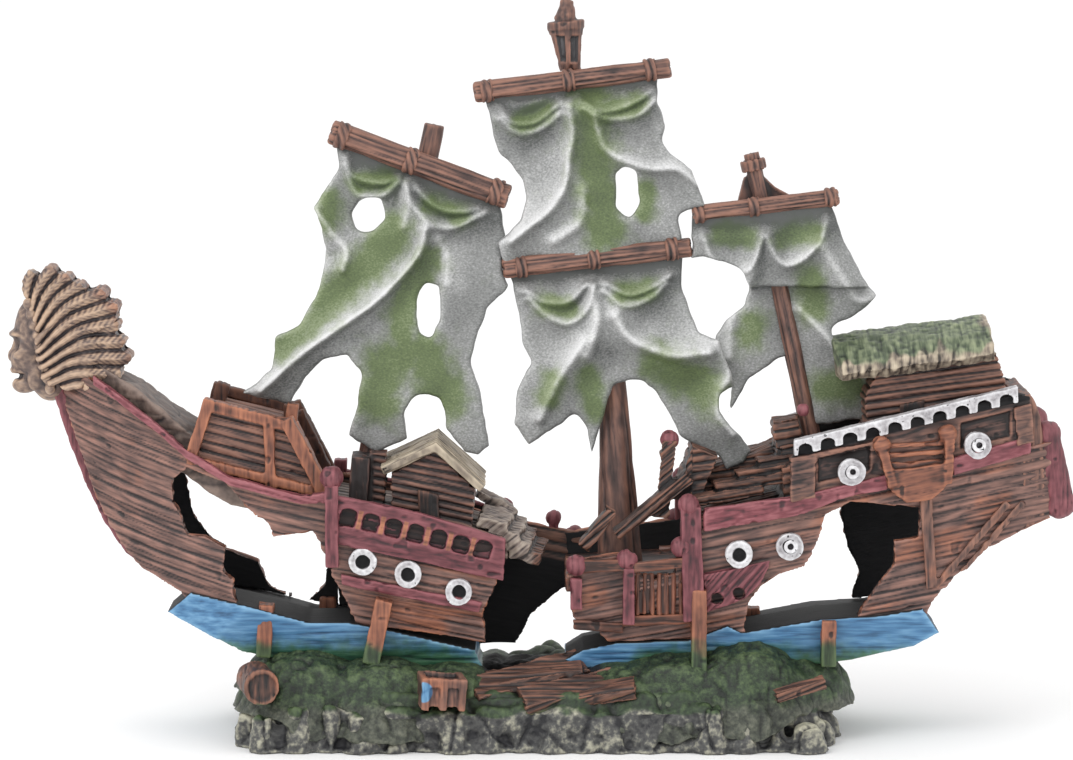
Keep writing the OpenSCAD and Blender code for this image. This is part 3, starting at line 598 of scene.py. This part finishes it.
def water_relief(low, high, dip):
    """Streaked water, blue above and green below. dip is how much lower the blue reaches at each point."""
    def relief(p, n):
        grain = board_grain(p, n, zero(p))
        floor = ramp(n[:, 2], 0.4, 0.7) * ramp(27.5 - abs(p[:, 1]), 0, 1.5)
        height = -0.3 * creases(grain, (24, 2.0, 20), 41, 3) + 0.6 * (fbm(grain, (14, 3.5, 14), 43) - 0.5)
        height *= 1 - floor
        depth = 1 - ramp(p[:, 2] + dip(p) + 3 * (noise(grain, (20, 3, 20), 45) - 0.5), low, high)
        return Carving(height, grain, depth, floor)
    return relief


def fore_dip(p):
    return 5 * ramp(p[:, 0], -40, -10)


def aft_dip(p):
    return 9 * ramp(32 - p[:, 0], 0, 14)


def blue_spot(p):
    return ramp(3.6 - np.linalg.norm(p - [-31, -46, 18], axis=1), 0, 1.5)


def mossed(relief, low, high, spread=6):
    """The same relief, grown over with moss below the given heights."""
    def mossy_relief(p, n):
        carving = relief(p, n)
        carving.accent = 1 - ramp(p[:, 2] + spread * (fbm(p, 6, 37) - 0.5), low, high)
        return carving
    return mossy_relief


def chest_relief(p, n):
    carving = post_relief(52, 0.6)(p, n)
    carving.accent = blue_spot(p)
    return carving


def build_base():
    sculpt("rock_base", ["base_rock", "rim_rocks"], rock_relief, paints["rock"], COARSE, 14, contrast=0.8)
    sculpt("moss_bank", ["moss_mounds"], moss_relief, paints["moss"], COARSE, 6, bend=moss_bend,
           contrast=0.6)
    sculpt("barrel", ["barrel_end"], mossed(post_relief(50, 0.4), 13, 17, 12), paints["wreck"], FINE, 4)
    sculpt("chest", ["sunken_chest"], chest_relief, paints["chest"], FINE, 2)
    sculpt("driftwood", ["driftwood_planks"], mossed(board_relief(slope(20), 54, 3.2, 0.5, 0), 9, 15, 16),
           paints["wreck"], FINE, 4)
    sculpt("stubs", ["support_stubs"], mossed(post_relief(56, 0.2), 23, 33, 8), paints["orange"], FINE, 4)
    sculpt("water_fore", ["keel_fore"], water_relief(21, 35, fore_dip), paints["water"], MEDIUM, 2)
    sculpt("water_aft", ["keel_aft"], water_relief(20, 33, aft_dip), paints["water"], MEDIUM, 2)
    sculpt("spigot", ["air_spigot"], plain_relief(58, 0.08), paints["fitting"], FINE, 0)
    sculpt("air_pipe", ["air_tube"], plain_relief(59, 0.05), paints["tube"], FINE, 0)
    sculpt("bubble_stone", ["air_stone"], plain_relief(60, 0.9), paints["stone"], FINE)


# ---- the hull ----


def low_right(x0, x1):
    """A mask that grows from x0 to x1 and below the middle of the hull."""
    return lambda p: 0.35 * ramp(p[:, 0], x0, x1) * ramp(-p[:, 2], -60, -35)


def a_little(p):
    return zero(p) + 0.15


def in_oval(p):
    return near_spots(p, OVALS, 1.6)


def between_windows(p):
    beside, up = gallery_place(p)
    posts = ramp(3 - abs(up + 6.1), 0, 0.6) * ramp(abs(beside), 2.2, 2.7) * ramp(3.4 - abs(beside), 0, 0.3)
    return 0.75 * posts * ramp(21 - abs(p[:, 0] + 33), 0, 1)


def waist_top(p):
    """The brown top of the far bulwark beside the waist."""
    return ramp(p[:, 2] + 0.28 * p[:, 0] + 2 * noise(p, 5, 91), 46, 49)


POOP_PANELS = [(77.5, 92.5), (117, 131.5)]


def poop_height(p):
    """Height with the slant of the poop's side taken out."""
    return p[:, 2] - 0.23 * (p[:, 0] - 71)


def in_poop_panel(p):
    height = poop_height(p)
    inside = np.zeros(len(p))
    for start, end in POOP_PANELS:
        inside = np.maximum(inside, ramp(p[:, 0] - start, 0, 0.8) * ramp(end - p[:, 0], 0, 0.8))
    return inside * ramp(height, 71.5, 72.3) * ramp(-height, -79.2, -78.4)


def bulwark_relief(p, n):
    """Framed panels, and black behind the carved rail's arches."""
    carving = trim_relief(aft_fall, 184, 0.2, 0.3, sunk=in_poop_panel)(p, n)
    carving.dark = np.maximum(carving.dark, 0.85 * ramp(poop_height(p), 80.4, 80.9))
    return carving


def build_hull():
    sculpt("bow_near", ["hull_bow_near"], hull_relief(fore_fall, 100, low_right(-90, -60)),
           paints["hull"], FINE)
    sculpt("bow_far", ["hull_bow_far"], hull_relief(fore_fall, 110, low_right(-90, -60)), paints["hull"])
    sculpt("mid_near", ["hull_mid_near"], hull_relief(fore_fall, 120, low_right(-60, -20), in_window),
           paints["hull"], FINE)
    sculpt("mid_far", ["hull_mid_far"],
           hull_relief(fore_fall, 130, low_right(-60, -20), in_window, waist_top), paints["hull"])
    sculpt("aft_near", ["hull_aft_near"], hull_relief(aft_fall, 140, a_little, in_oval),
           paints["hull"], FINE)
    sculpt("aft_far", ["hull_aft_far"], hull_relief(aft_fall, 150, a_little, in_oval), paints["hull"])
    sculpt("stem", ["stem_strake"], post_relief(160), paints["plum"], FINE, 2)
    sculpt("rail_fore", ["sheer_rail_fore"], trim_relief(fore_fall, 162, 0.6), paints["plum"], FINE, 2)
    sculpt("wale", ["wale_fore"], trim_relief(fore_fall, 164, 0.4), paints["plum"], FINE, 2)
    sculpt("rail_aft", ["sheer_rail_aft"], trim_relief(aft_fall, 166, 0.6), paints["plum"], FINE, 2)
    sculpt("gallery", ["window_band"], trim_relief(fore_fall, 168, 0.2, accent=between_windows),
           paints["plum"], FINE)
    sculpt("quarter_panel", ["lower_panel"], trim_relief(slope_up, 170, 0.1, 0.5), paints["plum"], FINE)
    sculpt("rings", ["port_rings"], ring_relief, paints["white"], 0.3, 2)
    sculpt("guns", ["cannons"], plain_relief(174, 0.5), paints["white"], 0.3, 1)
    sculpt("posts", ["trim_posts"], post_relief(176), paints["plum"], FINE, 2)
    sculpt("balls", ["post_balls"], post_relief(178, 0.2), paints["plum"], FINE, 2)
    sculpt("gallery_rail", ["balcony"], post_relief(180, 0.4, upright=False, tone=-0.3),
           paints["orange"], FINE, 3)
    sculpt("spindles", ["balusters"], post_relief(182, wobble=0.2, tone=-0.2), paints["orange"], 0.3)
    sculpt("bulwark", ["poop_bulwark"], bulwark_relief, paints["timber"], FINE)
    sculpt("carved_rail", ["balustrade"], plain_relief(186, 0.5), paints["white"], 0.3)
    sculpt("boat", ["boat_bay"], post_relief(188, 0.15, upright=False, drop=aft_fall, tone=-0.08),
           paints["orange"], FINE, 3)
    sculpt("stern_beams", ["stern_frame"], post_relief(190, 0.3), paints["timber"], FINE, 2)
    sculpt("log", ["stern_log"], post_relief(192, 0.2, 0.8), paints["plum"], FINE, 3)


# ---- decks and houses ----


def roof_relief(p, n):
    """Thatch: stalks that hang to the eaves, green with moss towards the ridge."""
    grain = np.stack([p[:, 1], p[:, 0], p[:, 2]], axis=1)
    hang = ramp(abs(p[:, 1]), 12, 24)
    height = -0.9 * creases(grain, (14, 1.7, 30), 220, 2) * (0.25 + 0.75 * hang)
    height += 1.3 * (fbm(p, (5, 6, 4), 222) - 0.5) + 0.5 * (noise(p, 1.8, 226) - 0.5)
    ridge = p[:, 2] - 0.14 * (p[:, 0] - 84)
    ragged = 6 * (noise(p * [1, 0.3, 0.3], 2.6, 224) - 0.5) + 3 * (noise(p, 7, 225) - 0.5)
    green = ramp(ridge + ragged, 103.5, 108) * ramp(128 + ragged - p[:, 0], 0, 6)
    return Carving(height, grain, green)


def thatch_relief(p, n):
    grain = np.stack([p[:, 2] + p[:, 0], p[:, 1], p[:, 0]], axis=1)
    return Carving(boards(grain, 3.4, 0.6, 0.25, 226), grain, 0.25 * noise(p, 6, 228))


def deck_relief(p, n):
    """A worn deck, smeared with wash."""
    height = 1.2 * (fbm(p, 7, 200) - 0.5) - 0.3 * creases(p, (9, 9, 2), 203, 5)
    return Carving(height, p.copy(), 0.9 * (fbm(p, 9, 204) - 0.3), 0, 0.4 * (fbm(p, 5, 205) - 0.5))


def hut_relief(p, n):
    """Narrow boards, and dark upright stumps left of the hut."""
    wall = board_relief(slope(-12), 208, 2.1, 0.7, 0.1)(p, n)
    stump = post_relief(209, -0.3, 0.6)(p, n)
    left = ramp(-p[:, 0], 45, 46)
    height = wall.height * (1 - left) + stump.height * left
    grain = np.where((left > 0.5)[:, None], stump.grain, wall.grain)
    return Carving(height, grain, wall.tint * (1 - left), 0, -0.2 - 0.2 * left)


def frame_relief(p, n):
    """The near frame is bright and the far one is nearly black: painted shade on the far frame."""
    carving = post_relief(206, 0.1, 0.6)(p, n)
    # Painted shade: the far frame blackened.
    carving.dark = 0.6 * ramp(p[:, 1], -16, -6)
    return carving


def wreck_relief(p, n):
    """Piled boards, pale beside the hut."""
    carving = board_relief(wreck_fall, 216, 2.6, 0.7, 0.15)(p, n)
    rubble = ramp(p[:, 0] + 6 * (fbm(p, 6, 219) - 0.5), -26, -22) * ramp(-p[:, 0], -2, 4)
    carving.height *= 1 - 0.65 * rubble
    carving.height += (1.2 + 1.6 * rubble) * (fbm(p, 5, 218) - 0.5)
    carving.tone -= 0.12 * (1 - rubble)
    carving.accent = 0.9 * rubble
    return carving


def wreck_fall(p):
    return np.where(p[:, 0] < 43.5, math.tan(math.radians(40)) * p[:, 0], 0.16 * p[:, 0])


def build_houses():
    sculpt("bow_deck", ["fore_deck"], deck_relief, paints["deck"], MEDIUM, 3)
    sculpt("waist_deck", ["main_deck"], board_relief(zero, 202), paints["deck"])
    sculpt("forecastle", ["forecastle_house"], board_relief(slope(-15), 204, 2.7, 0.7, 0.1),
           paints["timber"], FINE)
    sculpt("forecastle_beams", ["forecastle_frame"], frame_relief, paints["orange"], FINE, 3)
    sculpt("hut", ["hut_walls"], hut_relief, paints["timber"], FINE)
    sculpt("hut_top", ["hut_roof"], thatch_relief, paints["straw"], FINE, 2)
    sculpt("door_leaves", ["doors"], post_relief(210, -0.4, tone=-0.4), paints["wreck"], FINE)
    sculpt("aft_deck", ["poop_deck"], board_relief(aft_fall, 212), paints["wreck"])
    sculpt("cabin", ["poop_cabin"], board_relief(slope(8), 214, 2.2, 0.7, -0.2), paints["timber"], FINE)
    sculpt("cabin_thatch", ["cabin_roof"], roof_relief, paints["straw"], FINE, 8)
    sculpt("wreckage", ["deck_debris"], wreck_relief, paints["rubble"], FINE, 4)


# ---- masts, yards and sails ----


def pole_relief(poles, seed, warm=0.0, deep=0.34, swell=0.0):
    """Bark along the nearest of the (foot, head) poles."""
    def relief(p, n):
        grains = [pole_grain(p, foot, head) for foot, head in poles]
        grain = grains[0]
        for other in grains[1:]:
            grain = np.where((other[:, 2] < grain[:, 2])[:, None], other, grain)
        tint = warm + 0.6 * (noise(grain, (16, 3, 9), seed + 8) - 0.5)
        return Carving(bark(grain, seed, deep) + swell, grain, tint)
    return relief


def rope_relief(p, n):
    """Lashings: turns of rope side by side, each slanting a little."""
    turn = p[:, 0] * 0.97 + 0.25 * p[:, 1] + 0.2 * p[:, 2]
    height = 0.45 * abs(np.sin(turn * math.pi / 1.7)) - 0.25
    return Carving(height, np.stack([p[:, 1], turn, p[:, 2]], axis=1), 0.3)


def lamp_relief(p, n):
    """A six-sided lamp: thick bars with grey panes between them, under a lumpy flame."""
    around = np.degrees(np.arctan2(p[:, 1], p[:, 0] - 8.8)) / 60
    pane = ramp(0.33 - abs(around - np.round(around)), 0, 0.08)
    pane *= ramp(p[:, 2], 188, 189) * ramp(196 - p[:, 2], 0, 1)
    carving = post_relief(460, 0.2, 0.5)(p, n)
    carving.height += 1.1 * (fbm(p, 2.6, 462) - 0.5) * ramp(p[:, 2], 199.5, 201) - 0.8 * pane
    carving.accent = pane
    carving.tone -= 0.25 * pane
    return carving


def distance_to(p, path):
    """Distance in the XZ plane from each point to a path of (x, z) corners."""
    q = p[:, [0, 2]]
    best = np.full(len(p), 1e9)
    for start, end in zip(path, path[1:]):
        a = np.array(start, dtype=float)
        run = np.array(end, dtype=float) - a
        t = np.clip(((q - a) @ run) / (run @ run), 0, 1)
        best = np.minimum(best, np.linalg.norm(q - a - t[:, None] * run, axis=1))
    return best


def smooth_path(corners, steps=5):
    """A curve through the corners."""
    c = [np.array(corner, dtype=float) for corner in corners]
    c = [2 * c[0] - c[1]] + c + [2 * c[-1] - c[-2]]
    out = []
    for a, b, d, e in zip(c, c[1:], c[2:], c[3:]):
        for t in np.arange(steps) / steps:
            out.append(0.5 * (2 * b + (d - a) * t + (2 * a - 5 * b + 4 * d - e) * t ** 2
                              + (3 * b - a - 3 * d + e) * t ** 3))
    return out + [c[-2]]


class Sail:
    """A cast sail: folds and hems to raise, and where the green paint lies. All in (x, z)."""

    def __init__(self, yard, folds, hems, greens, seed, bulges=()):
        self.yard = smooth_path(yard)
        self.folds = [(smooth_path(path), width, height) for path, width, height in folds]
        self.hems = [smooth_path(path) for path in hems]
        self.greens = greens
        self.bulges = bulges
        self.seed = seed

    def bend(self, p):
        """The cloth comes forward along its folds and sags into pockets above its hems."""
        p = p.copy()
        seed = self.seed
        free = ramp(distance_to(p, self.yard), 2.5, 8)
        p[:, 0] += 2.2 * (fbm(p, (8, 30, 8), seed) - 0.5)
        p[:, 2] += 2.2 * (fbm(p, (7, 30, 7), seed + 3) - 0.5) * free
        front = 5.0 * (fbm(p, (18, 60, 26), seed + 5, 2) - 0.5)
        for path, width, height in self.folds:
            gap = distance_to(p, path)
            front += height * (0.5 * bell(gap, width) + 0.7 * bell(gap, 3.4 * width))
        pocket = np.zeros(len(p))
        for path in self.hems:
            gap = distance_to(p, path)
            pocket = np.maximum(pocket, 1.4 * bell(gap, 1.1) + 1.8 * bell(gap, 3.4))
        front += pocket
        for (x, z), radius, height in self.bulges:
            front += height * bell(np.hypot(p[:, 0] - x, p[:, 2] - z), radius)
        p[:, 1] -= front * free - 1.5 * (1 - free)
        return p

    def relief(self, p, n):
        height = 0.4 * (fbm(p, (3, 8, 4), self.seed + 7) - 0.5)
        green = np.zeros(len(p))
        for path, width in self.greens:
            green = np.maximum(green, bell(distance_to(p, path), width))
        green += 0.3 * (fbm(p, (9, 20, 9), self.seed + 11) - 0.5)
        # Fold crests and hem lips: white dry-brush, widened into painted highlight beside each crest.
        drybrush_and_highlight = np.zeros(len(p))
        for path, width, _ in self.folds:
            gap = distance_to(p, path)
            drybrush_and_highlight = np.maximum(drybrush_and_highlight, 0.55 * bell(gap, 0.6 * width) + 0.45 * bell(gap, 2.8 * width))
        for path in self.hems:
            gap = distance_to(p, path)
            drybrush_and_highlight = np.maximum(drybrush_and_highlight, 0.35 * bell(gap, 0.7) + 0.25 * bell(gap, 2))
        drybrush_and_highlight *= 0.1 + 1.1 * fbm(p, (2.5, 9, 2.5), self.seed + 13)
        dusting = 0.3 * (fbm(p, (12, 30, 12), self.seed + 15) - 0.5)
        # Painted light: faces turned up and to one side are lighter.
        painted_side_light = (0.26 * n[:, 2] + 0.2 * n[:, 0] * np.sign(n[:, 1])) * ramp(abs(n[:, 1]), 0.2, 0.6)
        # Painted shadow under the yard.
        shade = 0.6 * bell(distance_to(p, self.yard), 6.5)
        tone = 0.28 * drybrush_and_highlight + dusting + painted_side_light - shade - 0.04
        return Carving(height, p.copy(), green * (1 - 0.5 * np.clip(drybrush_and_highlight, 0, 1)), 0, tone)


SAILS = {
    "fore_sail": Sail(
        [(-57, 169), (-8, 151)],
        [([(-36, 156), (-36, 148), (-37, 143)], 1.5, 1.6),
         ([(-31, 142), (-32, 137), (-36, 131), (-45, 122), (-55, 115), (-66, 107), (-77, 97)], 1.2, 4.2),
         ([(-27, 139), (-25, 134), (-25, 127)], 1.8, 1.6),
         ([(-61, 147), (-57, 141), (-53, 136), (-54, 131)], 1.2, 2.4)],
        [[(-53, 162), (-52, 158), (-49, 156), (-43, 155), (-38, 157)],
         [(-53, 160), (-52, 156), (-50, 152), (-46, 151), (-42, 152), (-38, 156)],
         [(-34, 156), (-32, 152), (-27, 148), (-21, 147), (-16, 148)],
         [(-36, 155), (-35, 150), (-32, 146), (-28, 143), (-22, 143), (-14, 147)]],
        [([(-40, 142), (-45, 134), (-51, 129), (-58, 122)], 7), ([(-49, 155), (-42, 156)], 4),
         ([(-29, 149), (-22, 146)], 4), ([(-58, 149), (-59, 145)], 5),
         ([(-30, 134), (-34, 127), (-38, 119), (-37, 110)], 5), ([(-34, 108), (-43, 104), (-45, 94)], 7),
         ([(-32, 108), (-25, 94)], 7), ([(-60, 118), (-72, 108)], 4)], 300),
    "top_sail": Sail(
        [(-17, 180), (37, 187)],
        [([(9, 178), (10, 169), (9, 163), (8, 155), (4, 148), (-2, 143), (-7, 139)], 1.4, 3.6),
         ([(16, 174), (18, 167), (20, 164), (25, 161), (32, 159), (39, 159), (45, 155)], 1.3, 3.0),
         ([(13, 153), (13, 147), (11, 143), (5, 139)], 1.6, 2.4)],
        [[(-11, 179), (-4, 177), (6, 180)], [(-11, 177), (-7, 172), (0, 172), (7, 178)],
         [(-10, 173), (-5, 169), (1, 170), (6, 174)], [(11, 179), (18, 175), (26, 177), (32, 181)],
         [(13, 176), (20, 173), (28, 174), (33, 178)]],
        [([(15, 178), (16, 165), (17, 151), (19, 141)], 7), ([(-4, 172), (2, 175)], 4),
         ([(19, 175), (28, 177)], 4), ([(30, 153), (30, 147)], 4)], 320),
    "course_sail": Sail(
        [(-9, 131), (43, 137)],
        [([(16, 126), (17, 119), (16, 112), (14, 107)], 1.6, 2.6),
         ([(13, 111), (8, 103), (4, 96), (1, 89)], 1.6, 3.0),
         ([(22, 118), (26, 112), (32, 109), (39, 107), (48, 108)], 1.8, 4.0),
         ([(51, 111), (54, 102), (51, 96), (51, 90), (55, 85)], 1.6, 2.4)],
        [[(-3, 125), (2, 122), (9, 122), (14, 127)], [(-2, 123), (3, 118), (9, 116), (14, 120), (16, 127)],
         [(19, 127), (26, 124), (33, 126), (37, 129)], [(19, 125), (25, 121), (32, 123), (36, 127)]],
        [([(5, 100), (3, 95)], 4), ([(14, 101), (17, 91)], 4), ([(34, 105), (45, 99), (49, 95)], 7),
         ([(3, 121), (9, 120)], 4), ([(24, 124), (31, 125)], 4)], 340, [((40, 97), 8, -2.0)]),
    "mizzen_sail": Sail(
        [(44, 146), (84, 151)],
        [([(80, 137), (85, 129), (90, 122), (95, 122)], 1.6, 2.4),
         ([(60, 130), (55, 119), (54, 106)], 1.8, 2.0),
         ([(74, 119), (80, 113), (86, 106), (93, 100)], 1.6, 2.6)],
        [[(46, 142), (49, 134), (55, 130), (60, 132), (63, 140)],
         [(64, 140), (68, 133), (73, 133), (79, 139), (81, 146)]],
        [([(52, 141), (59, 140)], 4), ([(69, 140), (77, 141)], 4), ([(76, 128), (78, 119)], 5),
         ([(61, 115), (59, 111)], 5), ([(82, 97), (89, 98)], 6)], 360),
}


YARDS = [
    ("yard_fore", "fore_yard", [((-57, -5, 169), (-8, -5, 151))]),
    ("yards_main", "main_yards", [((-17, -5, 180), (37, -5, 187)), ((-9, -6, 131), (43, -6, 137))]),
    ("yard_mizzen", "mizzen_yard", [((44, -5, 146), (84, -5, 151))]),
]


def build_rig():
    sculpt("mast_fore", ["fore_mast"], pole_relief([((-50, 0, 62), (-28.5, 0, 171))], 400),
           paints["timber"], FINE, 3)
    sculpt("mast_main", ["main_mast"], pole_relief([((23.5, 0, 45), (13, 0, 160))], 410, 0.0, 0.6),
           paints["timber"], FINE, 2)
    sculpt("mast_mizzen", ["mizzen_mast"], pole_relief([((79, 0, 76), (60, 0, 163))], 420),
           paints["timber"], FINE, 3)
    for name, node, poles in YARDS:
        sculpt(name, [node], pole_relief(poles, 430, 0.1, 0.6, 0.5), paints["timber"], FINE, 2)
    sculpt("ropes", ["lashings"], rope_relief, paints["timber"], 0.3, 3)
    for name, sail in SAILS.items():
        # The long reach and soft contrast spread the tone's painted shade and painted highlight across the
        # sails' whole folds.
        sculpt("cloth_" + name, [name], sail.relief, paints["sail"], MEDIUM, 14, bend=sail.bend,
               contrast=4.5, reach=70)
    sculpt("lamp", ["lantern"], lamp_relief, paints["timber"], 0.3, 6)


# ---- figurehead ----

HEAD = np.array([-141.7, 0, 107])
FAN_MIDDLE = (-135.5, 107.5)
FEATHERS = 11


def ellipsoid(centre, radii):
    """A mesh ball, stretched, at a place given from the middle of the head."""
    ball = bmesh.new()
    place = Matrix.Translation(Vector((HEAD + centre) * MM)) @ Matrix.Diagonal((*(np.array(radii) * MM), 1))
    bmesh.ops.create_icosphere(ball, subdivisions=4, radius=1, matrix=place)
    mesh = bpy.data.meshes.new("ball")
    ball.to_mesh(mesh)
    ball.free()
    return mesh


def head_parts():
    """A plain skull: brain case, brow, nose, cheeks, teeth and jaw, with a beaded band down each side."""
    parts = [
        ellipsoid((1.5, 0, 6.5), (6.6, 6, 9)), ellipsoid((-1.4, 0, -1), (5.2, 4.6, 7.5)),
        ellipsoid((-4, 0, 5), (2.7, 4.4, 1.5)), ellipsoid((-5.5, 0, -1.5), (1.7, 1.2, 2.8)),
        ellipsoid((-4.2, 0, -5), (2.4, 2.9, 1.6)), ellipsoid((-2.4, 0, -9.2), (3.6, 3.2, 2.6)),
        ellipsoid((4.8, 0, -7), (5.4, 4.6, 7)),
    ]
    for side in (-1, 1):
        parts.append(ellipsoid((-3.2, 3.3 * side, -0.6), (2.3, 1.6, 1.7)))
        parts.append(ellipsoid((1, 3.2 * side, -6.5), (2.6, 1.4, 4.4)))
        for i in range(9):
            spot = (-0.6 + 0.75 * i, (5.6 - 0.05 * i) * side, 14 - 3 * i)
            parts.append(ellipsoid(spot, (1.5, 1.5, 1.7)))
    return parts


def head_relief(p, n):
    q = p - HEAD
    q[:, 1] = abs(q[:, 1])
    def dent(spot, width, depth):
        return -depth * bell(np.linalg.norm(q - spot, axis=1), width)
    height = dent((-5.2, 2.4, 2.0), 1.9, 2.2) + dent((-6.6, 0, -3.4), 1.0, 1.0)
    height += dent((-3, 4.4, -5), 2.2, 1.0)
    front = ramp(-q[:, 0], 1.5, 3.5)
    height -= 0.9 * bell(q[:, 2] + 6.9, 0.45) * front
    height -= 0.3 * bell(np.sin(q[:, 1] * math.pi / 1.1), 0.5) * bell(q[:, 2] + 6.6, 1.6) * front
    height += 0.6 * (fbm(p, 2.6, 510) - 0.5)
    return Carving(height, p.copy(), 0.1)


def fan_bend(p):
    """The fan is thickest in the middle and thins towards its feathers' tips."""
    p = p.copy()
    away = np.hypot(p[:, 0] + 129, p[:, 2] - 110)
    thick = 7.2 - 3.2 * np.clip(away / 24, 0, 1) ** 2
    p[:, 1] = np.clip(p[:, 1], -thick, thick) + 0.06 * p[:, 1]
    return p


def feather_shafts():
    """Curves that leave the band beside the face and sweep out to the feathers' round tips."""
    shafts = []
    for i in range(FEATHERS):
        turn = math.radians(106 - 14 * i)
        reach = 23 - 0.35 * i
        tip = np.array([FAN_MIDDLE[0] + reach * math.cos(turn), FAN_MIDDLE[1] + reach * math.sin(turn)])
        root = np.array([-142.5 + 0.55 * i, 119 - 2.3 * i])
        lift = np.array([-0.04, 0.11]) * np.linalg.norm(tip - root)
        shafts.append(smooth_path([root, 0.5 * (root + tip) + lift, tip]))
    return shafts


SHAFTS = feather_shafts()


def feather_relief(p, n):
    """Overlapping feathers: a raised shaft along each, a dark gap between two, and barbs near the tips."""
    warped = p + 1.2 * (noise(p, 7, 498) - 0.5)[:, None]
    gaps = np.sort(np.stack([distance_to(warped, shaft) for shaft in SHAFTS]), axis=0)
    reach = np.hypot(p[:, 0] + 143, p[:, 2] - 103)
    half = 0.5 * (gaps[0] + gaps[1])
    shaft = 0.8 * bell(gaps[0], 0.3 * half + 0.25)
    gap = -0.9 * ramp(gaps[0] / np.maximum(half, 0.1), 0.55, 1)
    barbs = 0.13 * np.sin((reach - 1.2 * gaps[0]) * 2 * math.pi / 1.6) * ramp(reach, 12, 22)
    height = (shaft + gap) * ramp(half, 0.2, 1.0) + barbs + 1.3 * (fbm(p, 3, 502) - 0.5)
    copper = 0.7 * ramp(reach, 22, 32) + 0.3 * (noise(p, 6, 500) - 0.5)
    dull = 0.3 * (fbm(p, 7, 504) - 0.5)
    return Carving(height, np.stack([reach, gaps[0] * 3, p[:, 1]], axis=1), copper, 0, dull)


def build_figurehead():
    sculpt("plume", ["feather_fan"], feather_relief, paints["gold"], 0.34, 3, bend=fan_bend, contrast=0.4)
    sculpt("head", ["skull"], head_relief, paints["gold"], 0.34, 4, sources=head_parts(), contrast=0.4)


# ---- stage ----


def build_stage():
    floor_mesh = bpy.data.meshes.new("floor")
    floor_mesh.from_pydata([(-20, -20, 0), (20, -20, 0), (20, 20, 0), (-20, 20, 0)], [], [(0, 1, 2, 3)])
    floor = bpy.data.objects.new("floor", floor_mesh)
    bpy.context.collection.objects.link(floor)
    s = Shader("floor_paper")
    place = s.node("ShaderNodeTexCoord").outputs["Object"]
    s.link(s.colours(s.noise(place, 0.5), [(0.3, (252, 252, 252)), (0.7, (254, 254, 254))]),
           s.surface.inputs["Base Color"])
    s.surface.inputs["Roughness"].default_value = 0.9
    floor_mesh.materials.append(s.material)


def softbox(name, place, target, size, power):
    data = bpy.data.lights.new(name, "AREA")
    data.shape = "RECTANGLE"
    data.size, data.size_y = size
    data.energy = power
    lamp = bpy.data.objects.new(name, data)
    lamp.location = place
    lamp.rotation_mode = "QUATERNION"
    lamp.rotation_quaternion = (Vector(target) - Vector(place)).to_track_quat("-Z", "Y")
    bpy.context.collection.objects.link(lamp)


def build_light():
    world = bpy.data.worlds.new("studio")
    bpy.context.scene.world = world
    world.use_nodes = True
    sky = world.node_tree.nodes["Background"]
    sky.inputs["Color"].default_value = (1, 1, 1, 1)
    sky.inputs["Strength"].default_value = 1.08
    softbox("key", (-0.7, -0.9, 1.0), (0, 0, 0.08), (0.8, 0.8), 6.5)
    softbox("fill", (0.9, -0.8, 0.5), (0, 0, 0.08), (0.8, 0.8), 2)


def build_camera():
    tilt = math.radians(CAMERA_TILT)
    back = Vector((0, -math.cos(tilt), math.sin(tilt)))
    data = bpy.data.cameras.new("camera")
    data.lens = 150
    data.sensor_width = 36
    camera = bpy.data.objects.new("camera", data)
    camera.location = Vector((0, 0, CAMERA_HEIGHT)) + back * CAMERA_DISTANCE
    camera.rotation_mode = "QUATERNION"
    camera.rotation_quaternion = (-back).to_track_quat("-Z", "Y")
    bpy.context.collection.objects.link(camera)
    bpy.context.scene.camera = camera
    bpy.context.scene.view_settings.view_transform = "Standard"


build_camera()
build_stage()
build_light()
build_base()
build_hull()
build_houses()
build_rig()
build_figurehead()
